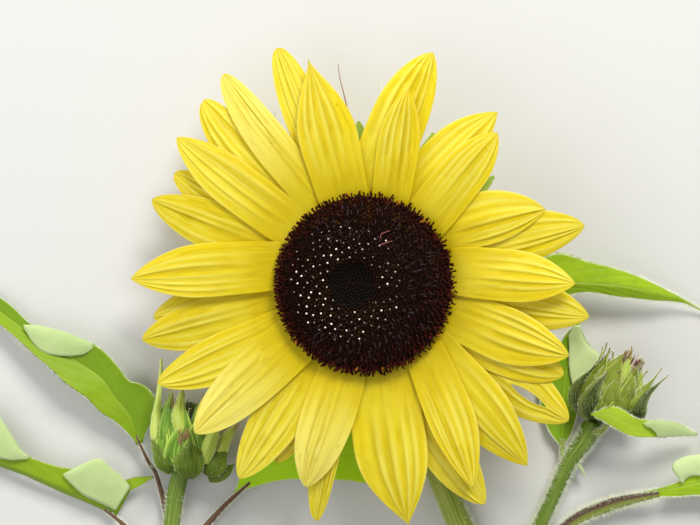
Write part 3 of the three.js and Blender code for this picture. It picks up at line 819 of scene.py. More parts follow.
def makeDots(dots):
    rng = random.Random(disc["seed"])
    made = 0
    for n in range(disc["dots"]):
        spread = disc["dotSpacing"] * math.sqrt(n + 0.5)
        turn = n * goldenTurn % math.tau
        lit = 0.5 + 0.5 * math.cos(turn - math.radians(disc["brightSide"]))
        x = disc["pitX"] + spread * math.cos(turn) + rng.uniform(-1, 1) * disc["dotJitter"]
        y = disc["pitY"] + spread * math.sin(turn) + rng.uniform(-1, 1) * disc["dotJitter"]
        luck = rng.random()
        white = rng.random() < mix(*disc["dotWhite"], lit)
        key = "pollen" if white else rng.choice(disc["dullDots"])
        if luck < mix(*disc["dotShown"], lit) and (
                disc["dotStart"] < spread < sample(disc["dotReach"], turn / math.tau)):
            top = discHeight(*onHead(x, y, 8).to_2d()) + 1.0
            size = disc["dotSizes"][key] * rng.uniform(0.9, 1.1)
            standing(dots, onHead(x, y, top), up, disc["dot"], size, key, wide=size, sides=7)
            made += 1
    return made


def makeStylesAndHighlights(stylesAndHighlights, rng):  # painted highlights on the floret tubes, drawn as short grey strokes, and a few pink styles
    wide = disc["styleAndHighlightWidth"]
    # grey strokes that stand for highlights on the floret tubes: painted highlights
    for k in range(disc["stylesAndHighlights"]):
        turn = math.radians(rng.choice([rng.uniform(*arc) for arc in disc["highlightArcs"]]))
        reach = rng.uniform(*disc["highlightReach"])
        course = Vector((math.cos(turn), math.sin(turn), 0))
        across = Vector((-course.y, course.x, 0)) * rng.uniform(-0.3, 0.3)
        x, y = reach * math.cos(turn), reach * math.sin(turn)
        start = Vector((x, y, discHeight(x, y) + rng.uniform(*disc["highlightFoot"])))
        end = start + (course + across) * rng.uniform(*disc["highlightLong"])
        end.z = discHeight(end.x, end.y) + rng.uniform(*disc["highlightTip"])
        middle = (start + end) / 2 + Vector((across.x, across.y, 0.5)) * 0.3
        strand(stylesAndHighlights, [headMatrix @ p for p in (start, middle, end)], wide, 0.08, "styleGrey", steps=4)
    for x, y, turn, long in disc["pinkStyles"]:
        start = onHead(x, y, 9)
        start.z = discHeight(start.x, start.y) + 1.2
        end = start + polar(long, turn, 0.1)
        middle = (start + end) / 2 + up * 0.25
        strand(stylesAndHighlights, [headMatrix @ p for p in (start, middle, end)], wide, 0.1, "stylePink")


def makeDisc():
    rng = random.Random(disc["seed"])
    makeDome()
    outer, inner, dots, stylesAndHighlights = Heap(), Heap(), Heap(), Heap()
    florets = makeFlorets(outer, inner, rng)
    dotCount = makeDots(dots)
    makeStylesAndHighlights(stylesAndHighlights, rng)
    outer.settle("discRimFlorets", "disc")
    inner.settle("discInnerFlorets", "disc", True)
    dots.settle("discPollenDots", "disc", True)
    stylesAndHighlights.settle("discStylesAndHighlights", "disc", True)
    print("disc made", florets, "florets", dotCount, "dots")


# Stems and branches: routes and radii as the solids have them. The main stem's first points and
# its last one are given where they lie, the others as they are seen.
stems = {
    "mainStem": {
        "node": "main_stem", "finish": "stem", "sides": 28, "steps": 110,
        "first": [(31, -246, 6), (31, -234, 6)], "last": [(-1.5, 0, 19)],
        "route": [(36, -195, 5.6), (42, -150, 5.2), (43, -118, 5), (38, -97, 4.7), (26.7, -68, 4.5),
                  (14, -36, 4.5), (5, -13, 5.6), (-0.6, -1.5, 11.5)],
        "radii": [6.0, 5.7, 5.4, 5.1, 4.8, 4.5, 4.3, 4.3, 4.6, 6.2],
        "hair": 1.6, "density": 2.4,
    },
    "leftBranch": {
        "node": "left_branch", "finish": "branch", "sides": 20, "steps": 70,
        "route": [(38, -190, 6), (27, -172, 4.6), (3, -150, 4), (-30, -129, 3.6), (-54, -110, 3.4),
                  (-63.4, -90, 3.6), (-63, -73, 5), (-60.4, -60.8, 8.4)],
        "radii": [4.0, 3.5, 3.2, 3.0, 2.9, 2.8, 2.8, 3.0],
        "hair": 1.2, "density": 2.2,
    },
    "rightBranch": {
        "node": "right_branch", "finish": "branch", "sides": 20, "steps": 44,
        "route": [(41.5, -104, 5.5), (49, -93, 4.6), (57.8, -79.2, 4.4), (67, -59.4, 5.4),
                  (72.5, -51.5, 7), (76, -45.5, 8.6)],
        "radii": [3.1, 2.7, 2.5, 2.4, 2.4, 2.9, 3.6],
        "hair": 2.1, "density": 5,
        "spike": [(68.2, -57, 5.6), (70.9, -60.2, 5.4), (73.1, -64.2, 4.6)],
    },
}
hair = {
    "width": 0.07, "seed": 21, "steps": 60,
    "full": 0.3, "fading": 0.65,  # steepness up to which all hairs stay, and over which they get fewer
    "lean": (-0.1, 0.45), "stray": 0.25, "lengths": (0.55, 1.15),
}


def stemRelief(u, turn):
    return 0.10 * math.cos(9 * turn + 3 * math.sin(5 * u)) + 0.07 * math.sin(23 * u) * math.cos(2 * turn)


def hairAt(heap, root, direction, length, width, key="hair"):  # a spike with three sides
    tip = root + direction * length
    if tip.z > clear["hair"]:
        heap.add(ring(root, *sideways(direction), width, 3) + [tip],
                 [(0, 1, 3), (1, 2, 3), (2, 0, 3), (2, 1, 0)], key)


def edgeHair(heap, rng, place, t, outer, inner, jitter, tall, width, pull=Vector((0, 0, 0))):
    root = place(t, outer)  # the hair stands on a blade's edge, pointing away from its inside
    out = (root - place(t, inner)).normalized()
    direction = (out + pull + jiggle(rng, *jitter)).normalized()
    hairAt(heap, root, direction, rng.uniform(*tall), width)


def hairStem(heap, route, radii, density, length, rng, end=1.0):
    frames = route.frames(hair["steps"])
    stray = hair["stray"]
    area = route.length * end * math.tau * sum(radii) / len(radii)
    for i in range(int(area * density)):
        u = rng.uniform(0, end)
        out = around(*frames[round(u * hair["steps"])], rng.uniform(0, math.tau))
        if abs(out.z) > hair["full"] + hair["fading"] * rng.random():
            continue  # thinner on top, where they are seen end on
        root = route.at(u) + out * (sample(radii, u) - 0.1)
        lean = route.tangent(u) * rng.uniform(*hair["lean"]) + jiggle(rng, stray, stray, -stray, stray)
        tall = length * rng.uniform(*hair["lengths"])
        hairAt(heap, root, (out + lean).normalized(), tall, hair["width"])


def makeStems():
    rng = random.Random(hair["seed"])
    for name, stem in stems.items():
        spots = [Vector(spot) for spot in stem.get("first", [])] + trail(stem["route"])
        route = Route(spots + [Vector(spot) for spot in stem.get("last", [])])
        obj = tube(name, route, stem["radii"], stem["sides"], stem["steps"], [stem["finish"], "pith"],
                   stemRelief, (0, 0, -1))
        settle(obj, "stem", stem["node"])
        heap = Heap()
        hairStem(heap, route, stem["radii"], stem["density"], stem["hair"], rng, 0.95)
        if "spike" in stem:
            strand(heap, trail(stem["spike"]), 1.7, 0.05, "leafUnder", sides=8)
        heap.settle(name + "Hairs", "stem")
    print("stems made")


# Leaves: a rib with a width and a fold for each side, lobes, margins turned over, a petiole
leafShape = {
    "thickness": 0.32, "columns": 30, "rows": 60, "quilt": 0.12, "wave": 0.06,
    "least": 0.35, "seed": 31,  # least: the lowest that a blade lies over the floor
    "lobeGrid": (14, 20), "flapGrid": (12, 26), "stalkGrid": (14, 30), "stalkEnd": 0.55,
    "stalkHairs": 8.0, "fuzz": 0.9, "edgeHairs": 22, "hairWidth": 0.055,
}
leaves = {
    "leafUpperRight": {
        "node": "leaf_upper_right", "stalk": "petiole", "edgeHair": 1.4,
        "rib": [(50, 1.2, 10.8), (69.3, 0.2, 12), (85.2, -0.9, 11.5), (96.6, -3.2, 8.5),
                (105.7, -5.8, 4.5), (114, -10.5, 0.9)],
        "left": [1.2, 9.8, 7.8, 5.4, 2.9, 0.6, 0.25], "leftFold": [6],
        "right": [1.2, 6, 3.2, 4.4, 3.3, 0.9, 0.25], "rightFold": [-34],
        "petiole": [(13, -33, 4.6), (25, -15, 6.5), (40, -1.5, 9), (56, 1.2, 11)],
        "radii": [1.7, 1.4, 1.0],
    },
    "leafBehindBud": {
        "node": "leaf_behind_bud", "stalk": "petiole", "blade": "leafShade", "flap": "leafFlapLit",
        "rib": [(65, -54, 3.8), (65.5, -44, 2.4), (66, -33, 1.6), (67.6, -23, 1.4), (69.2, -16.5, 3),
                (70, -13, 5.5)],
        "left": [0.4, 4.8, 7, 8.5, 9, 8, 4.6, 3, 0.3], "leftFold": [6],
        "right": [0.4, 3, 4.5, 6, 7, 8, 9.5, 4, 0.6], "rightFold": [0],
        "flaps": [{
            "outer": [(71, -13.6, 5.4), (72.3, -17.8, 3.2), (74.6, -20.8, 2.2), (77.6, -23.6, 2),
                      (76.6, -27, 2), (73.6, -31.5, 2.2), (70.4, -37, 2.6)],
            "inner": [(69.2, -13.6, 5.6), (67.2, -16.8, 3.8), (67.3, -20, 2.8), (67.2, -24, 2.4),
                      (67.4, -28, 2.4), (68.2, -32.5, 2.6), (70, -37, 2.8)],
        }],
        "petiole": [(67.2, -60.2, 5.2), (65.4, -57, 4.4), (65, -51, 3.4)],
        "radii": [1.2, 0.9],
    },
    "leafLowerRight": {
        "node": "leaf_lower_right", "stalk": "petioleTwoTone", "flap": "leafFlapLit", "fuzz": 2.0,
        "rib": [(92, -69.1, 6.6), (104, -67, 8.5), (118, -64, 9), (135, -60.5, 7.5), (152, -57.5, 4.5),
                (166, -56, 0.9)],
        "left": [0.6, 1.5, 4.5, 12, 19, 18, 13, 7, 0.3], "leftFold": [10, 8, 4],
        "right": [1.2, 3, 4.8, 10, 16, 17, 12, 6.5, 0.3], "rightFold": [-12, -12, -8, 0],
        "flaps": [{
            "outer": [(104.4, -65.6, 9.8), (102.8, -63.4, 10.4), (101.3, -61, 10.8), (101.8, -58.9, 11),
                      (105.5, -56.9, 11), (110.6, -56.1, 11.2), (118, -54.8, 11.8), (124, -55.6, 11.6)],
            "inner": [(104.8, -65.9, 9.6), (106.2, -64.2, 10), (108, -63.3, 10.4), (111, -63.2, 10.6),
                      (114.5, -62.6, 10.8), (118, -61.2, 11.2), (124.5, -57.4, 11.4)],
        }],
        "petiole": [(43, -114, 5), (52.5, -98, 3.2), (66, -80.4, 3), (80.3, -73.1, 4.5), (97, -69.3, 7)],
        "radii": [2.1, 1.9, 1.9, 2.0, 2.1],
    },
    "leafUpperLeft": {
        "node": "leaf_upper_left", "stalk": "petioleBrown", "blade": "leafTwoTone", "edgeHair": 0.5,
        "rib": [(-74.3, -52.8, 5.4), (-78.2, -43.3, 6.4), (-82.9, -37.2, 7), (-87.2, -31.1, 7.4),
                (-96.1, -25.1, 7.6), (-107.6, -18.5, 7), (-117.3, -11.4, 5.4), (-128, -3.5, 2.6),
                (-136, 4, 0.9)],
        "left": [1, 5, 8, 8.6, 6.2, 4.2, 3.6, 3, 0.3], "leftFold": [18],
        "right": [1, 11, 7, 8.4, 6.4, 3, 4, 3.5, 0.3], "rightFold": [4],
        "flaps": [{
            "outer": [(-112.8, -13.4, 7.6), (-108.6, -13.5, 7.9), (-104.8, -14.1, 8.1), (-99, -15.8, 8.5),
                      (-93.3, -18, 8.5), (-89.4, -19.6, 8.2)],
            "inner": [(-112.6, -14.4, 7.7), (-109.4, -19.6, 8), (-105.4, -22.8, 8.3), (-98.9, -23.8, 8.6),
                      (-92.8, -23.2, 8.6), (-89.5, -20.9, 8.3)],
        }],
        "petiole": [(-63.2, -86, 4), (-65.8, -74.4, 3.4), (-68.9, -62.8, 4.2), (-71.5, -58.6, 4.7),
                    (-75.6, -50, 5.5)],
        "radii": [1.2, 0.9, 0.7],
    },
    "leafLowerLeft": {
        "node": "leaf_lower_left", "stalk": "petioleBrown", "blade": "leafLeft", "edgeHair": 0.5,
        "rib": [(-82, -76.5, 3.4), (-93, -70.8, 5), (-104, -65.8, 6), (-120.5, -58.8, 6), (-134, -52, 4.5),
                (-147, -45, 0.9)],
        "left": [1, 3.5, 5, 5, 5, 4, 3, 0.3], "leftFold": [-70, -70, -70, -40, 0],
        "right": [10, 13.4, 8.5, 6.2, 6.5, 11.6, 16, 11, 0.3], "rightFold": [8, 8, 4, 0],
        "lobes": [{
            "rib": [(-86, -70, 4.9), (-78, -66.3, 5), (-69.8, -63.6, 4.6)],
            "left": [2.4, 2, 1.7, 0.3], "right": [2.4, 2, 1.7, 0.3],
        }],
        "flaps": [{
            "lift": 0.55,
            "outer": [(-77.4, -67, 5.4), (-79.4, -64.4, 5.8), (-83.6, -60.7, 6.6), (-87.8, -57.5, 7),
                      (-94.1, -59.8, 7.2), (-99.4, -62.5, 7)],
            "inner": [(-82.2, -74.8, 4.6), (-85, -73.4, 5), (-89, -71.6, 5.6), (-93, -69.6, 6.2),
                      (-96.5, -66.4, 6.8), (-99.6, -63.2, 7)],
        }, {
            "lift": 0.6,
            "outer": [(-110.6, -57, 7.2), (-113.6, -54.4, 7.4), (-117.3, -48.6, 7.4), (-121.5, -42.8, 7),
                      (-128, -39.5, 5.6), (-136, -39.5, 4)],
            "inner": [(-110.8, -57.6, 7.2), (-114, -58, 7.4), (-118, -58, 7.4), (-123, -56.4, 6.8),
                      (-130, -52.8, 5.6), (-138, -48, 3.6)],
        }],
        "petiole": [(-60.5, -97, 3.4), (-71, -89, 2.4), (-79.6, -79.5, 3), (-86, -74.4, 3.9)],
        "radii": [1.5, 1.2, 0.9],
    },
    "leafLowerMiddle": {
        "node": "leaf_lower_middle", "stalk": "petioleBrown", "blade": "leafLit", "edgeHair": 0.6,
        "rib": [(-43, -69, 4.3), (-32, -62, 6), (-18, -57.5, 7), (-3, -56, 6.2), (13, -58.5, 3.5)],
        "left": [0.4, 8, 12, 13, 12, 7, 0.3], "leftFold": [8],
        "right": [0.4, 3, 5.4, 7.9, 9.3, 9.4, 0.3], "rightFold": [-8],
        "petiole": [(-62.8, -92, 3.5), (-58, -86.5, 3), (-52.2, -79.5, 3), (-45.6, -72.4, 3.6),
                    (-38, -65.5, 4.9)],
        "radii": [1.3, 1.1, 0.9],
    },
    "budLeaf": {
        "node": "bud_leaf", "stalk": "petiole", "blade": "leafYoung",
        "rib": [(74.4, -43, 16.5), (81.8, -43.6, 19), (88, -47, 18), (94, -48, 15), (101, -48.1, 11),
                (109.7, -49.7, 6)],
        "left": [0.3, 3.2, 3.2, 3.2, 3, 2.2, 0.3], "leftFold": [8],
        "right": [0.3, 3.2, 3.2, 2.8, 2.4, 1.6, 0.3], "rightFold": [-12],
        "flaps": [{
            "wave": 0.25,
            "outer": [(91.7, -46, 17), (94.6, -44.9, 15.8), (98, -45, 13.8), (101.3, -45.7, 11.8),
                      (104.7, -46.8, 9.6), (109.6, -49.6, 6.6)],
            "inner": [(92.3, -46.6, 17), (95.4, -48.4, 15.6), (97, -50.6, 14), (100.5, -50.4, 12),
                      (104.7, -50.1, 9.6), (109.6, -50, 6.6)],
        }],
        "petiole": [(75, -47.4, 8.4), (77, -49, 12), (80, -46.5, 16), (83, -44.6, 18.4)],
        "radii": [1.6, 1.2, 0.8],
    },
}


def leafPlace(leaf, rng):
    rib = Route(trail(leaf["rib"]))
    phase = rng.uniform(0, 6)
    teeth = rng.randint(13, 17)

    def place(t, v):
        hand = "left" if v < 0 else "right"
        width = sample(leaf[hand], t)
        width *= 1 + 0.012 * math.sin(math.pi * t) * (2 * ((teeth * t + phase) % 1) - 1)
        fold = math.radians(sample(leaf.get(hand + "Fold", [0]), t))
        tangent = rib.tangent(t)
        side = Vector((-tangent.y, tangent.x, 0)).normalized() * (1 if v < 0 else -1)
        march = (7 * t - 2.2 * abs(v)) % 1
        groove = math.exp(-((min(march, 1 - march)) / 0.12) ** 2)
        keel = math.exp(-(v / 0.07) ** 2)
        fine = min(1, width / 5)
        wave = 0.35 * math.sin(7 * t + phase) * abs(v) ** 2 * fine
        rise = wave - leafShape["quilt"] * fine * (groove * (1 - keel) + 2 * keel)
        out = width * abs(v)
        point = rib.at(t) + side * (out * math.cos(fold) - math.sin(fold) * rise)
        point.z = max(point.z + out * math.sin(fold) + math.cos(fold) * rise, leafShape["least"])
        return point

    return place


def flapPlace(flap):  # a margin turned over, from the leaf's edge to where it ends on the blade
    outer = Route(trail(flap["outer"], flap.get("lift", 0)))
    inner = Route(trail(flap["inner"], flap.get("lift", 0)))
    facesUp = (inner.at(0.5) - outer.at(0.5)).cross(outer.at(0.7) - outer.at(0.3)).z > 0
    wave = flap.get("wave", leafShape["wave"])

    def place(t, v):
        share = (1 + v) / 2 if facesUp else (1 - v) / 2
        span = inner.at(t) - outer.at(t)
        point = outer.at(t) + span * share
        point += span.normalized() * share ** 3 * wave * math.sin(47 * t)  # a wavy margin
        point.z += min(0.8, span.length * 0.15) * math.sin(math.pi * share ** 0.7)
        return point

    return place


def makeLeaves():
    rng = random.Random(leafShape["seed"])
    fringe = Heap()
    thickness = leafShape["thickness"]
    for name, leaf in leaves.items():
        place = leafPlace(leaf, rng)
        keys = [leaf.get("blade", "leaf"), "leafUnder"]
        fewer = 2 if name == "budLeaf" else 1
        objects = [sheet(name, leafShape["columns"] // fewer, leafShape["rows"] // fewer, place,
                         thickness, keys)]
        for lobe in leaf.get("lobes", []):
            objects.append(sheet(name + "Lobe", *leafShape["lobeGrid"], leafPlace(lobe, rng),
                                 thickness, keys))
        for flap in leaf.get("flaps", []):
            objects.append(sheet(name + "Flap", *leafShape["flapGrid"], flapPlace(flap),
                                 thickness / 2, [leaf.get("flap", "leafFlap"), "leaf"]))
        route = Route(trail(leaf["petiole"]))
        radii = leaf["radii"] + [leaf["radii"][-1] * leafShape["stalkEnd"]]
        objects.append(tube(name + "Stalk", route, radii, *leafShape["stalkGrid"], [leaf["stalk"]]))
        settle(join(name, objects), "leaf", leaf["node"])
        hairStem(fringe, route, radii, leafShape["stalkHairs"], leaf.get("fuzz", leafShape["fuzz"]), rng)
        long = leaf.get("edgeHair", 1.0)
        for i in range(int(sum(leaf["left"]) * leafShape["edgeHairs"] * max(long, 1))):
            for v in (-1, 1):
                edgeHair(fringe, rng, place, rng.uniform(0.02, 0.99), v * 0.985, v * 0.9,
                         (0.5, 0.5, -0.2, 0.6), (0.4 * long, long), leafShape["hairWidth"])
    fringe.settle("leafHairs", "leaf")
    print("leaves made", len(leaves))


# Calyx: the cup behind the rays with its whorls of long-pointed bracts
calyx = {
    "cup": [(0.01, -13.5), (4, -13.4), (8, -12.8), (13, -11.6), (18, -10.3), (23, -8.8), (27.4, -6.8),
            (28.4, -5.6), (27.4, -4.8), (27.2, 0.6)],  # radius and height from its foot to its rim
    "bracts": 24, "seed": 41, "foot": 16, "hairs": 90, "hairTall": (0.7, 1.5),
    # The bracts take these by turns: degrees turned, height of the foot, reach and width
    "shifts": [-1, 2], "feet": [-8.1, -6.6], "reaches": [46, 48.5, 51], "widths": [12, 13, 14],
    "drop": 3.5, "farDrop": 7, "farSide": (40, 140),  # how far a tip hangs, more on the far side
    "tips": {92: 55, 65: 55, 40: 55, 120: 60},  # where a bract's tip shows between the rays
}
# Bract tips drawn out to threads, as they are seen, with their thickness and finish
threads = [
    ([(-4, 52), (-5.6, 57), (-6.9, 62.5), (-8.2, 67.5), (-8.9, 72.6)], 0.3, "threadBrown"),
    ([(4.6, 57), (5.3, 62.4), (5.5, 67.3)], 0.16, "threadPale"),
    ([(-31.2, 52.5), (-32.2, 55.2), (-32.6, 58)], 0.2, "threadPale"),
    ([(-28.6, 52.5), (-29.6, 54.6), (-29.8, 57)], 0.2, "threadPale"),
    ([(42.5, 43.6), (44.4, 45.4), (46.2, 47.4)], 0.18, "threadPale"),
    ([(22.6, 60), (23.8, 65), (24.6, 68.6)], 0.16, "threadPale"),
]


def bractPlace(angle, reach, body, width, drop, footZ, rng):
    foot = calyx["foot"]
    bend = rng.uniform(-7, 7)
    cup = rng.uniform(0.3, 1.2)

    def place(t, v):
        radius = mix(foot, reach, t)
        out = (radius - foot) / (body - foot)
        full = math.sin(math.pi * min(0.25 + out * 0.75, 1))
        half = max(width / 2 * full, 0.2 * (1 - t) + 0.05)
        turn = angle + bend * max(0, t - 0.5) ** 1.5
        point = polar(radius, turn) - polar(half * v, turn + 90)
        lift = footZ - drop * t ** 2 + cup * v * v * min(1, half / 4) + 0.25 * math.exp(-(v / 0.15) ** 2)
        return tilted(point.x, point.y, lift)

    return place


def cupPlace(x, y, z):
    radius, height = calyx["cup"][round(z)]
    turn = math.atan2(y, x)
    radius = max(radius, 0.2) * (1 + 0.012 * math.cos(24 * turn))
    return tilted(radius * math.cos(turn), radius * math.sin(turn), height)


def makeCalyx():
    rng = random.Random(calyx["seed"])
    cup = column("cup", 48, len(calyx["cup"]) - 1, ["bract"])
    reshape(cup, cupPlace)
    objects = [cup]
    fringe = Heap()
    step = 360 / calyx["bracts"]
    for i in range(calyx["bracts"]):
        angle = step * i + calyx["shifts"][i % 2]
        near = next((a for a in calyx["tips"] if abs(a - angle) < step / 2), None)
        farFrom, farTo = calyx["farSide"]
        drop = calyx["farDrop"] if farFrom < angle < farTo else calyx["drop"]
        reach = calyx["tips"][near] if near else calyx["reaches"][i % 3]
        place = bractPlace(near or angle, reach, reach + (1.2 if near else -2), calyx["widths"][i % 3],
                           drop, calyx["feet"][i % 2], rng)
        objects.append(sheet(f"bract{i}", 10, 26, place, 0.5, ["bract"]))
        for k in range(calyx["hairs"]):
            t = rng.uniform(0.25, 0.98)
            v = rng.choice([-1, 1])
            edgeHair(fringe, rng, place, t, v * 0.97, v * 0.7, (0.6, 0.6, -0.6, 0.6),
                     calyx["hairTall"], 0.06)
    settle(join("calyx", objects), "bract", "bloom_calyx")
    for spots, thick, key in threads:
        route = [headMatrix @ onHead(x, y, -7.5) for x, y in spots]
        strand(fringe, route, thick, thick * 0.35, key, sides=6, steps=14)
    fringe.settle("calyxHairs", "bract")
    print("calyx made")


# Buds: closed heads wrapped in bracts, with their first florets showing at the tip. Each bract in
# front has a rib as it is seen, half widths along it and a finish; more bracts stand round behind.
buds = {
    "budRight": {
        "node": "bud_right", "base": (76.4, -45, 9.6), "tip": (85.6, -24, 11.5),
        "radius": 7.4, "spread": 1.05, "seed": 3, "whorl": "budBract", "bristles": 380,
        "florets": [(86.6, -23.4, 16.2, 3.6), (89.4, -25.4, 14.6, 2.4)], "tuft": "budTip",
        "scales": [
            ([(73.6, -33, 11.5), (75.6, -27.8, 12.6), (77.5, -24.3, 13.2), (78.5, -20.7, 13.6)], [1.6, 1.1,
             0.35, 0.1], "budBract"),
            ([(72, -43, 9), (69.8, -38, 10.4), (70.4, -33.4, 11.4), (73.8, -29.3, 12.5), (77.3, -26, 13.6),
             (80.2, -22.9, 14.6), (81.6, -22.3, 14.8), (81.9, -23.2, 14.6)], [1.4, 2.7, 2.5, 1.5, 0.6,
             0.28, 0.2, 0.1], "budDark"),
            ([(77, -37, 14.4), (79, -32.5, 16), (81.6, -28.2, 16), (84.4, -25, 14.8), (87.1, -21.9, 13.4)],
             [2.4, 3.4, 3, 1.6, 0.15], "budBract"),
            ([(83, -36, 15.4), (85, -31, 16), (86.6, -26.4, 15), (87.6, -23, 13.8), (88.1, -20.5, 13)],
             [2.2, 2.8, 2.1, 1, 0.12], "budPale"),
            ([(90.2, -36, 12.2), (91, -31.5, 12.3), (91.3, -27.6, 12.2)], [1.4, 0.9, 0.1], "budPale"),
            ([(88, -33, 14.2), (89.3, -29.3, 14.6), (91, -26.4, 15), (91.7, -24.9, 15.4),
             (90.9, -24.3, 15.7), (89.5, -25, 16)], [1, 0.9, 0.4, 0.26, 0.2, 0.1], "budHook"),
            ([(86, -40, 14.6), (86.7, -36, 17), (87.4, -32.6, 17.2), (88.2, -29.6, 16.2),
             (88.7, -26.6, 15)], [2.2, 2.8, 2.4, 1.2, 0.12], "budBract"),
            ([(80.2, -43.5, 14), (81.2, -39, 18.2), (82.2, -35.4, 19), (83.6, -32.2, 18.6),
             (84.9, -29.2, 17.4)], [2.6, 3.5, 3.2, 1.7, 0.12], "budBract"),
            ([(75.2, -44.5, 12), (74.4, -40.4, 16.8), (75, -36.6, 18.8), (77, -33, 19), (79, -30.4, 18.2),
             (80.3, -28, 17.2)], [2.2, 4, 4, 2.2, 0.9, 0.12], "budDark"),
            ([(85.8, -42.6, 14.4), (88.2, -39.4, 15.8), (91.4, -36.2, 15.2), (94.6, -32.3, 14.2),
             (97.9, -27.9, 13)], [1.6, 2.4, 1.6, 0.42, 0.1], "budBract"),
            ([(90.6, -45.6, 12.4), (90.3, -42, 15.6), (91.2, -38.8, 16), (93.4, -36.1, 15.2),
             (96.6, -33.2, 14.2), (100.2, -30.1, 13.2)], [1.6, 2.9, 2.4, 1.1, 0.4, 0.1], "budDark"),
        ],
    },
    "budLeft": {
        "node": "bud_left", "base": (-60, -62.5, 8.8), "tip": (-57.4, -38, 9.2),
        "radius": 7.0, "spread": 1.42, "seed": 9, "whorl": "budGreen", "bristles": 130,
        "florets": [(-62.3, -39, 16, 3), (-60, -49.5, 19, 3.6)], "tuft": "budOchre",
        "scales": [
            ([(-66.5, -57, 10), (-68.6, -50, 11.4), (-68.9, -44.8, 11.6), (-68.2, -38, 11),
             (-67.4, -30, 9.6), (-67.3, -24.5, 8.4)], [1.8, 2.4, 1.8, 1.0, 0.8, 0.5], "budStrand"),
            ([(-64.6, -57, 13), (-65.3, -49, 14.6), (-64.6, -42, 14.2), (-63.4, -35, 12.6)], [2.6, 3, 2,
             0.15], "budGreen"),
            ([(-60, -52, 15.6), (-61.4, -44, 16), (-61, -38.6, 14.8), (-59.8, -33, 13)], [2, 2.6, 1.7,
             0.12], "budPale"),
            ([(-54.5, -56, 15.4), (-55, -48, 16.2), (-54.6, -42, 15), (-53.4, -37, 13.4)], [2.6, 3, 2,
             0.15], "budGreen"),
            ([(-50, -59.5, 12), (-47.6, -54, 13.4), (-44.4, -49, 13), (-41.4, -46, 12)], [2, 2.8, 1.7,
             0.15], "budPale"),
            ([(-53.4, -59, 14.8), (-51.8, -54, 16.6), (-49.8, -49.5, 16.4), (-47.4, -45, 14.8)], [2, 2.7,
             1.9, 0.15], "budPale"),
            ([(-63.8, -62.4, 11.6), (-65.2, -59.6, 13.6), (-66.6, -56.6, 14.2), (-68.4, -53.8, 13.4),
             (-70.6, -51.4, 12)], [1.6, 3.6, 3.8, 2.2, 0.15], "budDeep"),
            ([(-52.6, -63, 11.6), (-51, -61, 13.6), (-49.4, -58.6, 14.2), (-47.4, -56.2, 13.6),
             (-44.8, -54, 12.2)], [1.6, 3.8, 4.2, 2.4, 0.15], "budDeep"),
            ([(-51.6, -64.4, 9.6), (-49.6, -63.8, 10.6), (-47.2, -62.4, 11), (-43, -59.6, 10.4)], [1.2,
             2.4, 2.2, 0.15], "budDeep"),
            ([(-58.4, -64.2, 12.4), (-58.3, -61.8, 15.4), (-58.2, -58.8, 17), (-58, -55.2, 17.6),
             (-57.8, -51, 16.8)], [2, 4.4, 5, 3.4, 0.2], "budDeep"),
            ([(-64.8, -61.6, 10), (-68.4, -60.4, 10.6), (-71, -60.2, 10.4)], [0.6, 0.35, 0.1], "budDeep"),
        ],
    },
}
budOutline = [(0.3, 0), (0.62, 0.07), (0.86, 0.16), (0.97, 0.28), (1, 0.4), (0.97, 0.55), (0.86, 0.7),
              (0.66, 0.83), (0.4, 0.92), (0.12, 0.96)]
# The whorls behind: how many bracts, from where to where up the bud, their half width and how far out
budWhorls = [(7, 0.35, 1.0, 4.0, 0.98), (9, 0.05, 0.84, 4.2, 1.06)]
budHairs = {
    "behind": 90, "behindTall": (0.4, 1.0), "frontTall": (0.3, 0.75), "width": 0.038,
    "tuft": 26, "tuftTall": (2.4, 4.6), "tuftWidth": 0.22,
}


def scalePlace(rib, widths, bulge):  # a bract in front, bellied towards the eye
    route = Route(trail(rib))

    def place(t, v):
        width = max(sample(widths, t), 0.08)
        tangent = route.tangent(t)
        side = Vector((tangent.y, -tangent.x, 0)).normalized()
        full = min(1, width / 2.5)
        point = route.at(t) + side * width * v
        point.z += full * (bulge * (1 - v * v) - 0.4 * bulge + 0.25 * math.exp(-(v / 0.12) ** 2))
        return point

    return place


def whorlPlace(stand, angle, hook, broad, radius, inBud):  # a bract of the whorls behind
    def place(t, v):
        spot = sample(stand, t)
        full = math.sin(math.pi * min(0.32 + t * 0.95, 1)) ** 0.9 if t < 0.715 else 0
        half = max(broad * full, 0.42 * (1 - t) + 0.08)
        turn = angle + hook * max(0, t - 0.6) * 2.5
        point = polar(spot.x * radius, turn) - polar(half * v, turn + 90)
        point -= polar(0.055 * (half * v) ** 2 - 0.4 * v * v * full, turn)
        return inBud(point.x, point.y, spot.y)

    return place


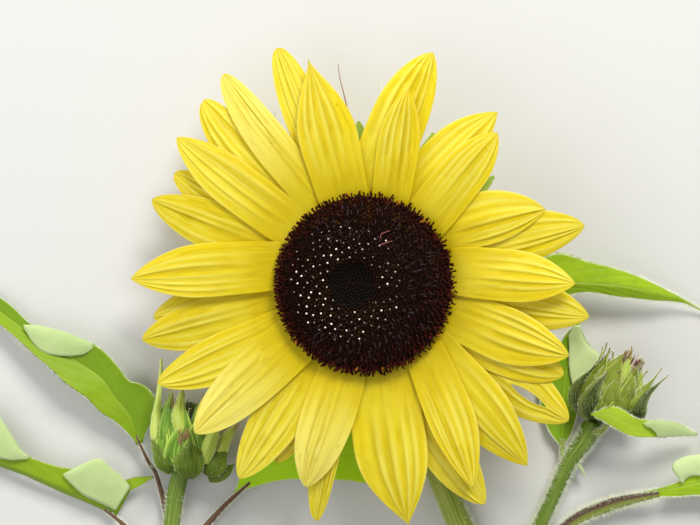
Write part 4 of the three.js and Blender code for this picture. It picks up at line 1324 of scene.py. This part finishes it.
def makeBud(name, bud):
    rng = random.Random(bud["seed"])
    base, tip = seen(*bud["base"]), seen(*bud["tip"])
    axis = (tip - base).normalized()
    length = (tip - base).length
    side = axis.cross(up).normalized()
    budMatrix = Matrix((side, axis.cross(side), axis)).transposed().to_4x4()
    budMatrix.translation = base
    fringe = Heap()

    def inBud(x, y, share):  # share: how far up the bud
        point = budMatrix @ Vector((x * bud["spread"], y, share * length))
        point.z = max(point.z, clear["hair"])
        return point

    def bristle(place, count, tall):
        for k in range(count):
            t = rng.uniform(0.0, 0.98)
            v = rng.choice([-1, 1, rng.uniform(-1, 1)])
            edgeHair(fringe, rng, place, t, v * 0.98, v * 0.5, (0.5, 0.5, 0.0, 0.9), tall,
                     budHairs["width"], axis * 0.35)

    def bodyPlace(x, y, z):
        radius, height = budOutline[round(z)]
        turn = math.atan2(y, x)
        radius *= bud["radius"] * 0.93
        return inBud(radius * math.cos(turn), radius * math.sin(turn), height)

    # the core between the bracts takes the darkest finish: painted shade
    body = column(name + "Body", 24, len(budOutline) - 1, ["budDark"])
    reshape(body, bodyPlace)
    objects = [body]
    for whorl, (count, low, high, broad, out) in enumerate(budWhorls):
        for i in range(count):
            angle = 360 * (i + 0.5 * whorl) / count + rng.uniform(-8, 8)
            tall = high * rng.uniform(0.86, 1.05)
            flare = out * rng.uniform(0.97, 1.05)
            tipOut = rng.uniform(0.55, 0.95) + (0.12 if whorl else 0)
            stand = [(0.42 if low < 0.2 else 0.8, low), (flare * 0.95, mix(low, tall, 0.25)),
                     (flare, mix(low, tall, 0.5)), (flare * 0.9, mix(low, tall, 0.75)),
                     (tipOut, tall), (tipOut + rng.uniform(-0.1, 0.2), tall + 0.08)]
            place = whorlPlace([Vector(spot) for spot in stand], angle, rng.uniform(-9, 9), broad,
                               bud["radius"], inBud)
            objects.append(sheet(f"{name}Bract{whorl}{i}", 10, 22, place, 0.45, [bud["whorl"]]))
            bristle(place, budHairs["behind"], budHairs["behindTall"])
    for i, (rib, widths, key) in enumerate(bud["scales"]):
        place = scalePlace(rib, widths, 1.5)
        objects.append(sheet(f"{name}Scale{i}", 12, 30, place, 0.4, [key]))
        bristle(place, bud["bristles"], budHairs["frontTall"])
    settle(join(name, objects), "bract", bud["node"])
    for x, y, z, spread in bud["florets"]:  # the first florets, showing between the bracts
        for k in range(budHairs["tuft"]):
            root = seen(x + rng.uniform(-0.5, 0.5) * spread, y - 2 + rng.uniform(-0.5, 0.5) * spread,
                        z - 1.5 + rng.uniform(-1, 0.6))
            direction = (axis + jiggle(rng, 0.35, 0.2, -0.1, 0.3)).normalized()
            hairAt(fringe, root, direction, rng.uniform(*budHairs["tuftTall"]), budHairs["tuftWidth"],
                   rng.choice([bud["tuft"], bud["tuft"], "threadBrown"]))
    fringe.settle(name + "Hairs", "bract")
    print(name, "made")


# Floor, lights and camera
stage = {
    "floor": (0.62, 0.62, 0.60, 1), "clouds": (0.5, 0.5, 0.48, 1), "floorSize": 4,
    "sky": (0.97, 0.98, 1, 1), "skyPower": 0.36, "sensor": 36.0,
}
lights = {  # each one's place from the bloom in metres, size, power and tint
    "key": ((0.3, 0.75, 0.75), 0.4, 13, (1, 0.98, 0.93)),
    "fill": ((-0.6, -0.4, 0.9), 1.2, 5, (0.98, 0.99, 1)),
    "rim": ((-0.8, 0.5, 0.35), 0.5, 4, (1, 1, 1)),
}


def makeStage():
    deselect()
    bpy.ops.mesh.primitive_plane_add(size=stage["floorSize"], location=(0, 0, 0))
    floor = named("floor", [])
    finish = Finish("floorPale", stage["floor"])
    finish.coat(finish.noise(finish.place(9), 3.0) * 0.08, stage["clouds"])
    floor.data.materials.append(finish.done(0.8))
    middle = origin + seen(view["eyeX"], view["eyeY"], view["rayPlane"]) * mm
    for name, (spot, size, power, tint) in lights.items():
        deselect()
        bpy.ops.object.light_add(type="AREA", location=middle + Vector(spot))
        lamp = bpy.context.object
        lamp.name = name + "Light"
        lamp.data.size = size
        lamp.data.energy = power
        lamp.data.color = tint
        lamp.rotation_euler = (-Vector(spot)).to_track_quat("-Z", "Y").to_euler()
    world = bpy.data.worlds.new("studio")
    world.use_nodes = True
    background = world.node_tree.nodes["Background"]
    background.inputs["Color"].default_value = stage["sky"]
    background.inputs["Strength"].default_value = stage["skyPower"]
    scene = bpy.context.scene
    scene.world = world
    distance = (view["eyeHeight"] - view["rayPlane"]) * mm
    bpy.ops.object.camera_add(location=middle + Vector((0, 0, distance)), rotation=(0, 0, 0))
    camera = bpy.context.object
    camera.name = "camera"
    camera.data.sensor_width = stage["sensor"]
    camera.data.lens = stage["sensor"] * distance / (view["width"] * mm)
    camera.data.clip_start = 0.01
    scene.camera = camera
    scene.view_settings.view_transform = "Standard"
    print("stage made, lens", round(camera.data.lens, 1))


makeStage()
makePetals()
makeDisc()
makeStems()
makeLeaves()
makeCalyx()
for name, bud in buds.items():
    makeBud(name, bud)
